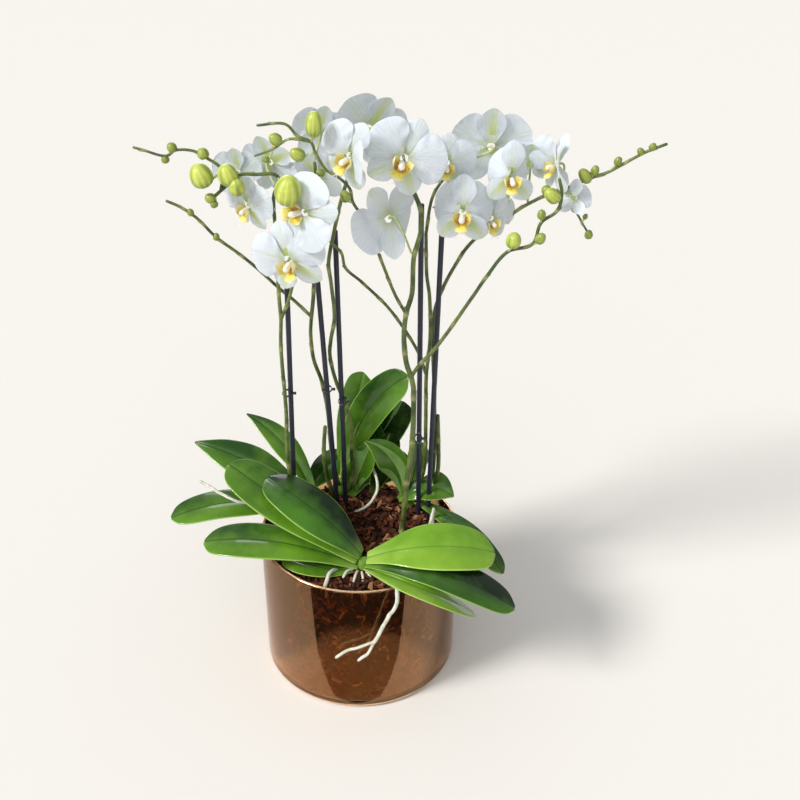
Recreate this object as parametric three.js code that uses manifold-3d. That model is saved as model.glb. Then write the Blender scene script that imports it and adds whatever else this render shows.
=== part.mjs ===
// Potted moth orchid: four plants with white flowers, their spikes clipped to dark stakes,
// in a low copper lustre glass pot full of bark.
// Millimetres, +Z up. The origin is the middle of the pot's underside, and -Y is the front.
import * as THREE from 'three';
import { mergeVertices } from 'three/addons/utils/BufferGeometryUtils.js';
import Module from 'manifold-3d';

const wasm = await Module();
wasm.setup();

// Pot and bark
const POT_RADIUS = 120;
const POT_HEIGHT = 186;
const POT_WALL = 4;
const POT_BOTTOM = 7;
const POT_FOOT_ROUND = 5;
const POT_SIDES = 36;
const BARK_TOP = 169;
const BARK_DOME = 4;

// Clear space that touching pieces keep
const GAP = 0.35;

// Plant sizes
const STAKE_RADIUS = 3;
const STAKE_FOOT_Z = 14;
const CROWN_RADIUS = 9;
const LEAF_THICKNESS = 2;
const TEPAL_THICKNESS = 1.3;
const TEPAL_START = 3.8;
const PETAL_ANGLE = 66;
const LATERAL_ANGLE = 142;
const PEDICEL_RADIUS = 1.3;
const THIN_ROD = 2.55;
const NODE_SWELL = 1.4;
const STALK_OVERLAP = 2.5;
const BUD_STALK_RADIUS = 1.1;
const SMALL_BALL_RADIUS = 6;
const THROAT_RADIUS = 5.5;

// Half width of a blade along its length, as [share of the length, share of the half width]
const LEAF_OUTLINE = [[0, 0.3], [0.15, 0.5], [0.4, 0.9], [0.62, 1], [0.82, 0.84], [0.94, 0.48], [1, 0.12]];
const PETAL_OUTLINE = [[0, 0.14], [0.25, 0.68], [0.5, 1], [0.75, 0.93], [1, 0.34]];
const SEPAL_OUTLINE = [[0, 0.3], [0.35, 0.86], [0.55, 1], [0.85, 0.72], [1, 0.24]];
const LIP_OUTLINE = [[0, 0.5], [0.5, 1], [1, 0.2]];

const PETAL = { length: 43, width: 50, droop: -3, outline: PETAL_OUTLINE, steps: 3 };
const DORSAL_SEPAL = { length: 41, width: 29, droop: -5, outline: SEPAL_OUTLINE, steps: 2 };
const LATERAL_SEPAL = { length: 40, width: 28, droop: -7, outline: SEPAL_OUTLINE, steps: 2 };

// Stakes: foot at bark level, top
const STAKES = {
  stake_left: [[-83, 33, 168], [-79, 33, 500]],
  stake_back_left: [[-31, 58, 168], [-48, 56, 500]],
  stake_back: [[-21, 65, 168], [-27, 61, 545]],
  stake_right_front: [[72, 42, 168], [66, 26, 590]],
  stake_right: [[84, 40, 168], [89, 42, 560]],
};

// Clips: middle, half width and half depth of the loop
const CLIPS = {
  clip_left: [[-84, 30, 356], 8, 8],
  clip_back_left: [[-41, 62, 343], 8, 9],
  clip_back: [[-22, 60, 328], 7, 10],
  clip_right_front: [[66, 25, 300], 9, 13],
};

// Crowns, where a plant's leaves, roots and spikes start: middle, bottom and top
const CROWNS = {
  front: [7, -58, 140, 182],
  left: [-60, 46, 140, 186],
  back: [-30, 88, 140, 190],
  right: [60, 68, 140, 190],
};

// Spikes: a main stem and its branches as routes, and buds on short stalks.
// A route is [radius, points]; a bud is [centre, radius, length share, foot of the stalk].
const SPIKES = {
  front_spike: {
    crown: 'front',
    routes: [
      [3.6, [[7, -58, 150], [28, -34, 152], [46, -6, 158], [52, 7, 178], [54, 9, 212], [57, 15, 250], [62, 16, 300],
        [62, 16, 372], [59, 16, 388]]],
      [2.9, [[59, 16, 388], [53, 15, 408], [50, 15, 440], [52, 15, 468], [58, 14, 494], [59, 13, 535],
        [66, 12, 568], [65, 11, 590], [53, 12, 618]]],
      [2.1, [[59, 16, 388], [66, 14, 402], [88, 12, 432], [124, 10, 494], [138, 9, 519], [157, 8, 546],
        [182, 6, 556], [189, 5, 580], [204, 3, 594], [207, 2, 612], [203, 1, 628]]],
      [1.7, [[52, 15, 468], [40, 12, 492], [27, 8, 528], [8, 5, 580], [-4, 2, 600], [-7, -1, 616],
        [-18, -3, 628], [-30, -4, 636], [-41, -4, 655], [-44, -4, 664], [-57, -3, 669], [-69, -3, 681],
        [-96, -2, 679]]],
      [1.4, [[-44, -4, 664], [-65, -2, 666], [-82, -3, 656], [-100, -4, 649]]],
    ],
    buds: [
      [[162, 3, 561], 8, 1.1, [157, 8, 546]], [[192, 0, 567], 6, 1.2, [182, 6, 556]],
      [[188, 0, 594], 5, 1.2, [189, 5, 580]], [[197, -2, 612], 7.5, 1.3, [207, 2, 612]],
      [[-40, -12, 684], 8.5, 1.5, [-44, -4, 664]], [[-63, -10, 652], 7.4, 1.2, [-41, -4, 655]],
      [[-83, -10, 668], 6.8, 1.1, [-65, -2, 666]], [[-37, -10, 634], 4.5, 1.2, [-30, -4, 636]],
      [[-14, -7, 612], 6, 1.2, [-4, 2, 600]], [[-92, -4, 642], 3.5, 1.3, [-82, -3, 656]],
    ],
  },
  left_spike: {
    crown: 'left',
    routes: [
      [2.5, [[-60, 46, 178], [-78, 32, 198], [-87, 25, 262], [-86, 24, 336], [-88, 23, 418], [-86, 22, 456]]],
      [2.1, [[-86, 22, 456], [-87, 21, 492], [-86, 19, 545], [-86, 14, 600], [-80, 8, 624], [-103, 2, 628],
        [-117, 0, 628], [-135, 0, 613], [-143, 0, 606]]],
      [1.9, [[-86, 22, 456], [-76, 19, 482], [-68, 18, 512], [-60, 20, 545], [-54, 22, 570]]],
      [1.6, [[-137, 0, 612], [-134, 1, 632], [-150, 2, 645], [-162, 3, 651], [-180, 4, 651], [-190, 4, 645],
        [-212, 6, 650], [-222, 8, 652]]],
    ],
    buds: [
      [[-155, -4, 628], 11.5, 1.1, [-134, 1, 632]], [[-128, -6, 630], 10, 1.15, [-117, 0, 628]],
      [[-119, -10, 619], 8, 1.15, [-117, 0, 628]], [[-67, -20, 620], 13.5, 1.2, [-80, 8, 624]],
      [[-153, 2, 650], 6.5, 1, [-150, 2, 645]], [[-184, 4, 655], 5.5, 1, [-180, 4, 651]],
      [[-191, 4, 640], 4.5, 1, [-190, 4, 645]], [[-150, -2, 603], 6, 1, [-143, 0, 606]],
      [[-145, -4, 595], 4.5, 1, [-143, 0, 606]],
    ],
  },
  back_left_spike: {
    crown: 'back',
    routes: [
      [2.6, [[-30, 88, 178], [-33, 76, 205], [-38, 68, 252], [-41, 67, 310], [-47, 65, 352], [-55, 58, 386],
        [-57, 54, 421], [-55, 49, 446]]],
      [2.2, [[-55, 49, 446], [-52, 47, 470], [-50, 47, 500], [-46, 47, 545], [-44, 48, 590], [-46, 50, 625]]],
      [1.9, [[-55, 49, 446], [-75, 46, 469], [-89, 44, 483], [-111, 40, 508], [-130, 37, 527], [-152, 33, 547],
        [-170, 29, 570], [-186, 27, 583], [-199, 25, 590]]],
    ],
    buds: [
      [[-152, 33, 548], 4, 1.2, [-152, 33, 547]], [[-178, 28, 579], 4, 1.2, [-170, 29, 570]],
    ],
  },
  back_spike: {
    routes: [
      [2.4, [[-19, 82, 174], [-12, 76, 205], [-13, 72, 245], [-13, 70, 290], [-20, 71, 318], [-30, 68, 350],
        [-36, 60, 390], [-34, 54, 414], [-29, 50, 445], [-32, 50, 489], [-34, 49, 512], [-28, 50, 545],
        [-20, 54, 580], [-8, 60, 618], [2, 62, 645]]],
    ],
    buds: [],
  },
  right_spike: {
    crown: 'right',
    routes: [
      [2.4, [[60, 68, 178], [70, 60, 200], [78, 50, 240], [78, 49, 309], [77, 48, 372], [80, 47, 420],
        [78, 46, 474], [74, 45, 502], [72, 45, 550]]],
      [1.8, [[72, 45, 550], [78, 48, 590], [92, 52, 612], [110, 56, 625]]],
      [1.9, [[77, 48, 372], [66, 57, 400], [34, 57, 452], [2, 55, 487], [-15, 45, 508], [-19, 36, 530],
        [-30, 30, 545]]],
    ],
    buds: [],
  },
  right_long_spike: {
    routes: [
      [2.4, [[70, 78, 174], [86, 66, 205], [90, 56, 250], [88, 53, 330], [84, 54, 410], [86, 52, 462],
        [112, 47, 526], [134, 44, 556]]],
      [1.9, [[134, 44, 556], [157, 42, 570], [172, 40, 583], [203, 36, 602], [222, 33, 610], [240, 32, 619],
        [256, 30, 626], [290, 27, 648], [311, 25, 658]]],
      [1.3, [[222, 33, 610], [225, 30, 590], [235, 30, 572], [243, 29, 560]]],
    ],
    buds: [
      [[193, 30, 606], 6, 1.1, [203, 36, 602]], [[231, 29, 623], 6.8, 1.5, [240, 32, 619]],
      [[244, 29, 631], 5, 1.2, [240, 32, 619]], [[268, 27, 643], 4.5, 1.2, [256, 30, 626]],
      [[285, 26, 650], 4, 1.2, [290, 27, 648]], [[300, 25, 657], 4, 1.2, [290, 27, 648]],
      [[227, 27, 585], 4, 1.2, [225, 30, 590]], [[244, 28, 558], 5, 1.1, [243, 29, 560]],
      [[239, 27, 581], 3, 1.2, [235, 30, 572]],
    ],
  },
  back_cut_spike: {
    routes: [[2.9, [[-36, 76, 174], [-42, 64, 205], [-46, 59, 240], [-46, 58, 265], [-44, 58, 292]]]],
    buds: [],
  },
  right_cut_spike: {
    routes: [[2.9, [[84, 62, 176], [91, 57, 205], [95, 49, 240], [94, 48, 280], [92, 46, 318]]]],
    buds: [],
  },
};

// Leaves: foot, middle and tip of the midrib, where the upper face looks, width and fold
const LEAVES = {
  front_leaf_right_top: [[17, -57, 188], [84, -66, 206], [161, -54, 189], [0, -0.3, 1], 64, 0.1],
  front_leaf_right_middle: [[17, -64, 179], [94, -94, 193], [180, -112, 166], [0.1, -0.25, 1], 52, 0.08],
  front_leaf_right_low: [[15, -71, 176], [74, -113, 190], [136, -105, 146], [0.1, -0.35, 1], 42, 0.08],
  front_leaf_left_top: [[1, -48, 190], [-42, -34, 226], [-110, 18, 247], [0.35, -0.35, 1], 54, 0.05],
  front_leaf_left_middle: [[-4, -53, 183], [-82, -14, 222], [-161, 34, 252], [0.3, -0.5, 1], 60, 0.12],
  front_leaf_left_low: [[-4, -60, 176], [-95, -52, 202], [-184, -40, 191], [0, -0.2, 1], 54, 0.06],
  front_leaf_small: [[-6, -66, 174], [-48, -68, 179], [-88, -50, 180], [0, -0.1, 1], 34, 0.05],
  left_leaf_high: [[-70, 50, 188], [-135, 64, 230], [-213, 90, 246], [0.1, -0.5, 1], 50, 0.1],
  left_leaf_back: [[-62, 57, 190], [-96, 90, 238], [-149, 118, 272], [0.3, -0.5, 1], 34, 0.3],
  left_leaf_low: [[-70, 42, 178], [-150, 22, 204], [-231, 2, 193], [0, -0.2, 1], 48, 0.06],
  back_leaf_tall: [[-30, 98, 192], [-14, 106, 270], [0, 110, 340], [-0.3, -1, 0.4], 42, 0.1],
  back_leaf_big: [[-24, 92, 194], [4, 84, 294], [56, 74, 356], [-0.2, -1, 0.7], 46, 0.08],
  back_leaf_dark: [[-20, 92, 184], [24, 108, 245], [50, 114, 296], [0.3, -1, 0.5], 46, 0.1],
  back_leaf_small: [[-13, 80, 180], [0, 70, 228], [15, 62, 272], [-0.4, -1, 0.5], 32, 0.15],
  right_leaf_left: [[54, 58, 192], [38, 56, 246], [4, 50, 277], [-0.3, -1, 0.8], 36, 0.35],
  right_leaf_back: [[64, 77, 192], [70, 86, 230], [80, 84, 250], [0.6, -1, 0.8], 34, 0.25],
  right_leaf_folded: [[70, 62, 190], [92, 50, 216], [114, 39, 206], [0.2, -0.3, 1], 40, 0.25],
  right_leaf_low: [[68, 58, 182], [122, -2, 190], [172, -60, 166], [0, -0.1, 1], 32, 0.05],
};

// Flowers: centre, facing (degrees to the right, degrees up), clockwise roll, size,
// lift of the left and right petal towards the face, and the foot of the pedicel on its spike
const FLOWERS = {
  flower_front_top: [[47, 0, 648], [4, 6], 26, 1.02, [0, 4], [54, 12, 616]],
  flower_left_low: [[-70, -14, 544], [-20, 0], -20, 1, [2, -10], [-82, 17, 520]],
  flower_left_mid: [[-52, -16, 596], [-35, 4], 78, 0.98, [-4, 6], [-57, 20, 560]],
  flower_left_outer: [[-112, 6, 594], [-36, -4], 4, 0.74, [0, -8], [-88, 16, 580]],
  flower_left_back: [[-92, 48, 626], [160, 5], 160, 0.78, [0, 0], [-84, 14, 612]],
  flower_left_rear: [[-126, 44, 616], [170, 0], 4, 0.66, [0, 0], [-103, 6, 629]],
  flower_centre: [[-6, -14, 654], [-28, 4], 24, 0.88, [-2, 30], [-17, -1, 630]],
  flower_top_back: [[11, 66, 657], [196, 8], -30, 0.98, [0, 0], [2, 61, 646]],
  flower_top_left: [[-41, 60, 656], [192, 0], -14, 0.78, [0, 0], [-46, 50, 627]],
  flower_behind: [[-46, 74, 600], [170, 0], 30, 0.8, [0, 0], [-44, 51, 600]],
  flower_hanging: [[33, 12, 585], [192, -14], 176, 0.96, [0, 0], [57, 12, 540]],
  flower_middle: [[91, 38, 631], [8, 0], 6, 0.76, [0, 0], [86, 51, 606]],
  flower_right_front: [[108, 8, 596], [-6, 4], 0, 0.92, [-24, -24], [78, 45, 580]],
  flower_right_back: [[138, 62, 637], [180, 0], 0, 0.98, [0, 0], [111, 56, 626]],
  flower_right_narrow: [[157, 18, 629], [4, 2], 2, 0.86, [-32, -32], [158, 40, 574]],
  flower_right_lower: [[139, 28, 575], [26, 0], 0, 0.72, [0, 0], [126, 43, 544]],
  flower_right_rear: [[181, 56, 629], [165, 20], 0, 0.62, [0, 0], [178, 41, 588]],
  flower_right_top: [[204, 34, 633], [-112, 12], 0, 0.8, [14, 8], [208, 35, 606]],
  flower_right_hanging: [[220, 14, 606], [165, -28], 0, 0.52, [18, 18], [212, 32, 605]],
};

// Aerial roots: [radius, points] for each strand
const ROOTS = {
  left_aerial_root: [[1.9, [[-66, 30, 180], [-96, 4, 192], [-124, 6, 210], [-150, 0, 222], [-170, 12, 224],
    [-197, 32, 226]]]],
  hanging_root: [
    [2.3, [[8, -70, 172], [14, -90, 178], [30, -108, 190], [42, -121, 190], [46, -127, 178], [38, -127, 158],
      [21, -127, 117]]],
    [1.7, [[21, -127, 117], [8, -127, 111], [-13, -127, 101], [-23, -127, 92]]],
    [1.7, [[21, -127, 117], [14, -127, 100], [3, -127, 88]]],
  ],
  back_aerial_root: [[1.8, [[14, 78, 216], [19, 54, 216], [20, 43, 210], [15, 36, 200], [6, 40, 185],
    [-8, 45, 172]]]],
  front_aerial_root: [[1.9, [[-2, -71, 168], [-15, -82, 174], [-27, -84, 182], [-35, -87, 176], [-39, -90, 168]]]],
};

const COLOURS = {
  glass: [0x9a5526, 0.06, 0],
  bark: [0x55281b, 0.95, 0],
  stake: [0x1d2036, 0.45, 0],
  clip: [0x23262e, 0.3, 0],
  stem: [0x6f8a3a, 0.55, 0],
  leaf: [0x3f7d24, 0.35, 0],
  petal: [0xf3f4f6, 0.6, 0],
  root: [0xd9dccb, 0.8, 0],
};

const potPlant = new THREE.Group();
const UP = new THREE.Vector3(0, 0, 1);
const vector = (p) => new THREE.Vector3(...p);

// Pieces in the order in which they keep their full shape; a later piece is cut clear of them.
const pieces = [];

function solidOf(geometry) {
  const bare = geometry.clone();
  bare.deleteAttribute('normal');
  bare.deleteAttribute('uv');
  const merged = mergeVertices(bare, 1e-4);
  return new wasm.Manifold(new wasm.Mesh({
    numProp: 3,
    vertProperties: new Float32Array(merged.attributes.position.array),
    triVerts: new Uint32Array(merged.index.array),
  }));
}

function join(solids) {
  return solids.reduce((sum, solid) => sum.add(solid));
}

function addPiece(name, colour, makeSolid) {
  pieces.push({ name, colour, solid: makeSolid(0), cutter: makeSolid(GAP) });
}

function boxesMeet(a, b) {
  const one = a.boundingBox();
  const two = b.boundingBox();
  return [0, 1, 2].every((i) => one.min[i] < two.max[i] && two.min[i] < one.max[i]);
}

function largestBody(solid) {
  const bodies = solid.decompose();
  return bodies.reduce((best, body) => (body.volume() > best.volume() ? body : best));
}

function geometryOf(solid) {
  const mesh = solid.getMesh();
  const geometry = new THREE.BufferGeometry();
  geometry.setAttribute('position', new THREE.BufferAttribute(new Float32Array(mesh.vertProperties), 3));
  geometry.setIndex(new THREE.BufferAttribute(new Uint32Array(mesh.triVerts), 1));
  geometry.computeVertexNormals();
  return geometry;
}

// Half width share at a share of the length
function shareAt(outline, along) {
  const last = outline.findIndex(([at]) => at >= along);
  if (last <= 0) {
    return last < 0 ? outline.at(-1)[1] : outline[0][1];
  }
  const [fromAt, fromShare] = outline[last - 1];
  const [toAt, toShare] = outline[last];
  return fromShare + ((toShare - fromShare) * (along - fromAt)) / (toAt - fromAt);
}

// A thin plate that follows a curved midrib: a leaf, a petal, a sepal or a lip
function blade({ foot, middle, tip, face, width, fold, outline, thickness, steps, strips, grow }) {
  const control = middle.clone().multiplyScalar(2).addScaledVector(foot, -0.5).addScaledVector(tip, -0.5);
  const midrib = new THREE.QuadraticBezierCurve3(foot, control, tip);
  const geometry = new THREE.BoxGeometry(1, 2, 1, steps, strips, 1);
  const place = geometry.attributes.position;
  for (let i = 0; i < place.count; i += 1) {
    const along = place.getX(i) + 0.5;
    const across = place.getY(i);
    const layer = place.getZ(i);
    const tangent = midrib.getTangent(along);
    const side = face.clone().cross(tangent).normalize();
    const normal = tangent.clone().cross(side).normalize();
    const halfWidth = (width / 2) * shareAt(outline, along) + grow;
    const point = midrib.getPoint(along)
      .addScaledVector(tangent, (along - 0.5) * 2 * grow)
      .addScaledVector(side, across * halfWidth)
      .addScaledVector(normal, Math.abs(across) * halfWidth * fold + layer * (thickness + 2 * grow));
    place.setXYZ(i, point.x, point.y, point.z);
  }
  return solidOf(geometry);
}

// A smooth route whose sections sit on its own points, so that branches meet it there
class Route extends THREE.CatmullRomCurve3 {
  getSpacedPoints(divisions) {
    return this.getPoints(divisions);
  }

  getTangentAt(share) {
    return this.getTangent(share);
  }
}

// A rod along a route, with one section on each point
function rod(points, radius, grow) {
  const section = new THREE.Shape().absarc(0, 0, radius + grow, 0, 2 * Math.PI);
  const geometry = new THREE.ExtrudeGeometry(section, {
    curveSegments: radius < THIN_ROD ? 2 : 3,
    steps: points.length - 1,
    bevelEnabled: false,
    extrudePath: new Route(points.map(vector), false, 'centripetal'),
  });
  return solidOf(geometry);
}

// An egg-shaped ball, longer along Z
function ball(centre, radius, lengthShare, grow) {
  const [around, down] = radius < SMALL_BALL_RADIUS ? [5, 3] : [6, 4];
  const geometry = new THREE.SphereGeometry(radius + grow, around, down);
  geometry.scale(1, 1, lengthShare);
  geometry.translate(...centre);
  return solidOf(geometry);
}

function potSolid(grow) {
  const outside = POT_RADIUS + grow;
  const inside = POT_RADIUS - POT_WALL - grow;
  const round = POT_FOOT_ROUND * 0.3;
  const profile = [
    [0, -grow],
    [outside - POT_FOOT_ROUND, -grow],
    [outside - round, round],
    [outside, POT_FOOT_ROUND],
    [outside, POT_HEIGHT + grow],
    [inside, POT_HEIGHT + grow],
    [inside, POT_BOTTOM + grow],
    [0, POT_BOTTOM + grow],
  ].map(([x, y]) => new THREE.Vector2(x, y));
  const geometry = new THREE.LatheGeometry(profile, POT_SIDES);
  geometry.rotateX(Math.PI / 2);
  return solidOf(geometry);
}

function barkSolid(grow) {
  const radius = POT_RADIUS - POT_WALL - GAP + grow;
  const profile = [
    [0, POT_BOTTOM + GAP - grow],
    [radius, POT_BOTTOM + GAP - grow],
    [radius, BARK_TOP + grow],
    [radius * 0.6, BARK_TOP + BARK_DOME * 0.7 + grow],
    [0, BARK_TOP + BARK_DOME + grow],
  ].map(([x, y]) => new THREE.Vector2(x, y));
  const geometry = new THREE.LatheGeometry(profile, POT_SIDES);
  geometry.rotateX(Math.PI / 2);
  return solidOf(geometry);
}

// A stake runs on its own line from the pot's bottom to its top
function stakeSolid([foot, top], grow) {
  const start = vector(foot);
  const end = vector(top);
  const down = start.clone().sub(end).divideScalar(end.z - start.z);
  const bottom = start.clone().addScaledVector(down, start.z - STAKE_FOOT_Z);
  bottom.addScaledVector(down, grow);
  end.addScaledVector(down, -grow);
  return rod([bottom.toArray(), end.toArray()], STAKE_RADIUS, grow);
}

function clipSolid([centre, halfWidth, halfDepth], grow) {
  const ring = new THREE.LatheGeometry([
    [0.8 - grow * 0.1, -2 - grow],
    [1 + grow * 0.1, -2 - grow],
    [1 + grow * 0.1, 2 + grow],
    [0.8 - grow * 0.1, 2 + grow],
    [0.8 - grow * 0.1, -2 - grow],
  ].map(([x, y]) => new THREE.Vector2(x, y)), 14);
  ring.rotateX(Math.PI / 2);
  ring.scale(halfWidth, halfDepth, 1);
  ring.translate(...centre);
  return solidOf(ring);
}

function crownSolid([x, y, bottom, top], grow) {
  const height = top - bottom + 2 * grow;
  const geometry = new THREE.CylinderGeometry(CROWN_RADIUS * 0.8 + grow, CROWN_RADIUS + grow, height, 10);
  geometry.rotateX(Math.PI / 2);
  geometry.translate(x, y, (top + bottom) / 2);
  return solidOf(geometry);
}

function spikeSolid({ crown, routes, buds }, grow) {
  const parts = routes.map(([radius, points]) => rod(points, radius, grow));
  for (const [radius, points] of routes) {
    parts.push(ball(points[0], radius + NODE_SWELL, 1, grow));
  }
  if (crown) {
    parts.push(crownSolid(CROWNS[crown], grow));
  }
  for (const [centre, radius, lengthShare, stalkFoot] of buds) {
    const foot = vector(stalkFoot);
    const inward = foot.clone().sub(vector(centre)).setLength(STALK_OVERLAP);
    parts.push(ball(centre, radius, lengthShare, grow));
    parts.push(rod([foot.add(inward).toArray(), centre], BUD_STALK_RADIUS, grow));
  }
  return join(parts);
}

function leafSolid([foot, middle, tip, face, width, fold], grow) {
  return blade({
    foot: vector(foot),
    middle: vector(middle),
    tip: vector(tip),
    face: vector(face).normalize(),
    width,
    fold,
    outline: LEAF_OUTLINE,
    thickness: LEAF_THICKNESS,
    steps: 6,
    strips: 2,
    grow,
  });
}

// The way that a flower faces, its top and its right-hand side as a viewer in front of it sees them
function flowerAxes([turn, tilt], roll) {
  const [a, e, r] = [turn, tilt, roll].map(THREE.MathUtils.degToRad);
  const face = new THREE.Vector3(Math.sin(a) * Math.cos(e), -Math.cos(a) * Math.cos(e), Math.sin(e));
  const level = UP.clone().addScaledVector(face, -UP.dot(face)).normalize();
  const right = level.clone().cross(face);
  const top = level.clone().multiplyScalar(Math.cos(r)).addScaledVector(right, Math.sin(r));
  return { face, top, right: top.clone().cross(face) };
}

// One petal or sepal: it leaves the centre at an angle from the top, and its tip is lifted by lift
function tepal(centre, axes, kind, angle, lift, size, grow) {
  const a = THREE.MathUtils.degToRad(angle);
  const out = axes.top.clone().multiplyScalar(Math.cos(a)).addScaledVector(axes.right, Math.sin(a));
  const reach = kind.length * size;
  const rise = (kind.droop + lift) * size;
  const flat = Math.sqrt(Math.max(reach * reach - rise * rise, 0.3 * reach * reach));
  return blade({
    foot: centre.clone().addScaledVector(out, TEPAL_START * size),
    middle: centre.clone().addScaledVector(out, flat * 0.54).addScaledVector(axes.face, rise * 0.45 + 2 * size),
    tip: centre.clone().addScaledVector(out, flat).addScaledVector(axes.face, rise),
    face: axes.face,
    width: kind.width * size,
    fold: 0,
    outline: kind.outline,
    thickness: TEPAL_THICKNESS,
    steps: kind.steps,
    strips: 1,
    grow,
  });
}

function flowerSolid([place, facing, roll, size, [leftLift, rightLift], stalkFoot], grow) {
  const centre = vector(place);
  const axes = flowerAxes(facing, roll);
  const front = centre.clone().addScaledVector(axes.face, 2.5 * size);
  const parts = [
    tepal(centre, axes, DORSAL_SEPAL, 0, 0, size, grow),
    tepal(centre, axes, LATERAL_SEPAL, LATERAL_ANGLE, 0, size, grow),
    tepal(centre, axes, LATERAL_SEPAL, -LATERAL_ANGLE, 0, size, grow),
    tepal(front, axes, PETAL, PETAL_ANGLE, rightLift, size, grow),
    tepal(front, axes, PETAL, -PETAL_ANGLE, leftLift, size, grow),
  ];
  const throat = centre.clone().addScaledVector(axes.face, 1.5 * size);
  parts.push(ball(throat.toArray(), THROAT_RADIUS * size, 1.2, grow));
  parts.push(blade({
    foot: throat.clone().addScaledVector(axes.top, -3 * size),
    middle: throat.clone().addScaledVector(axes.top, -9 * size).addScaledVector(axes.face, 9 * size),
    tip: throat.clone().addScaledVector(axes.top, -18 * size).addScaledVector(axes.face, 12 * size),
    face: axes.face.clone().add(axes.top),
    width: 20 * size,
    fold: 0,
    outline: LIP_OUTLINE,
    thickness: TEPAL_THICKNESS,
    steps: 2,
    strips: 1,
    grow,
  }));
  const behind = centre.clone().addScaledVector(axes.face, -12 * size);
  const foot = vector(stalkFoot);
  parts.push(rod([centre.toArray(), behind.toArray(), foot.toArray()], PEDICEL_RADIUS, grow));
  return join(parts);
}

function rootSolid(strands, grow) {
  return join(strands.map(([radius, points]) => rod(points, radius, grow)));
}

function addPieces(table, colour, makeSolid) {
  for (const [name, entry] of Object.entries(table)) {
    addPiece(name, colour, (grow) => makeSolid(entry, grow));
  }
}

addPiece('glass_pot', 'glass', potSolid);
addPieces(STAKES, 'stake', stakeSolid);
addPieces(SPIKES, 'stem', spikeSolid);
addPieces(LEAVES, 'leaf', leafSolid);
addPieces(ROOTS, 'root', rootSolid);
addPieces(FLOWERS, 'petal', flowerSolid);
addPieces(CLIPS, 'clip', clipSolid);
addPiece('potting_bark', 'bark', barkSolid);

pieces.forEach((piece, order) => {
  let solid = piece.solid;
  for (const earlier of pieces.slice(0, order)) {
    if (boxesMeet(solid, earlier.cutter)) {
      solid = solid.subtract(earlier.cutter);
    }
  }
  const [color, roughness, metalness] = COLOURS[piece.colour];
  const material = new THREE.MeshStandardMaterial({ color, roughness, metalness });
  const mesh = new THREE.Mesh(geometryOf(largestBody(solid)), material);
  mesh.name = piece.name;
  potPlant.add(mesh);
});

export default potPlant;
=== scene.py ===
"""Looks of the potted moth orchid: white flowers on clipped spikes over a copper lustre glass pot of bark.

Shapes are worked out in millimetres, as the frame's part is, and each finished piece is brought to metres.
"""
import bmesh
import bpy
import math
import random
from mathutils import Matrix, Vector, noise
from mathutils.geometry import interpolate_bezier


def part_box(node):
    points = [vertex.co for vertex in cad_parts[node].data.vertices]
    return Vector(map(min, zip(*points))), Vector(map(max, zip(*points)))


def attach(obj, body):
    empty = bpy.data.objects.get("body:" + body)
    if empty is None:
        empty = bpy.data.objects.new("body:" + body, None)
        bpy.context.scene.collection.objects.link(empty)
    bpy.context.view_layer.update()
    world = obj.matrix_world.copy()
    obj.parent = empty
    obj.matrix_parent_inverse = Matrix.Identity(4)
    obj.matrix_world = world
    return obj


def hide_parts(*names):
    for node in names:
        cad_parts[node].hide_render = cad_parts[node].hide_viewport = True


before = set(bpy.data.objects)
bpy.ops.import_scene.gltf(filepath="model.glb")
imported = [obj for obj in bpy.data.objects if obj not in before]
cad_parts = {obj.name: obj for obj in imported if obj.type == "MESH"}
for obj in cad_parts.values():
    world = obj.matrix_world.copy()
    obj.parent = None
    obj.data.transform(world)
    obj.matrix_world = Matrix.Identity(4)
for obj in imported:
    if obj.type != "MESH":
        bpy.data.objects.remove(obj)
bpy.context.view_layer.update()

MM = 0.001
UP = Vector((0, 0, 1))

# Camera: where it stands, how far it looks down, its roll, its lens and the width of its sensor
CAMERA_PLACE = (46.7, -999.1, 977.9)
CAMERA_DOWN = 31.44
CAMERA_ROLL = 0.85
CAMERA_LENS = 46.58
SENSOR_WIDTH = 36

# Studio
FLOOR_SIZE = 16000
FLOOR_COLOUR = (0.828, 0.798, 0.756)
WORLD_STRENGTH = 0.46
WORLD_COLOUR = (0.97, 0.985, 1)
BACKDROP_COLOUR = (0.95, 0.92, 0.87)

# Lamps: strength, width in degrees, the way they shine and their colour
LAMPS = {
    "key_lamp": (2.8, 16, (1.08, 0.58, -1), (1, 0.985, 0.96)),
    "fill_lamp": (0.75, 70, (0.12, 1, -0.8), (0.95, 0.975, 1)),
}

# Softbox behind the plant, which shows only as gloss
SOFTBOX_PLACE = (-380, 1250, 1150)
SOFTBOX_AIM = (-60, 0, 230)
SOFTBOX_SIZE = 650
SOFTBOX_POWER = 6

# Black card that lies before the pot: the glass mirrors it and so stays clear there. Its right half
CARD_OUTLINE = ((0, -126), (34, -128), (120, -170), (290, -285), (230, -390), (110, -450), (0, -465))
CARD_HEIGHT = 0.4

# Pot: bright copper bands, painted highlights, lie this far below the rim, and between two heights at the
# foot
POT_WALL = 4
POT_BOTTOM = 7
POT_FOOT_ROUND = 6
HIGHLIGHT_BAND_RIM = 0.9
HIGHLIGHT_BAND_FOOT = (3.2, 5.4)
POT_SPIN_STEPS = 96

# Bark: how far chips lie inside the glass, the fill behind them, and the low mound that it makes on top
CHIP_LENGTH = (6, 17)
CHIP_WIDTH = (2, 5.5)
CHIP_DEPTH = (1, 2.8)
SIDE_CHIPS = 3600
TOP_CHIPS = 1300
SIDE_CHIP_INSET = (2.2, 6.5)
FILL_INSET = 5
MOUND_HEIGHT = 4
CHIP_CHAMFER = 0.35

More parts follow.
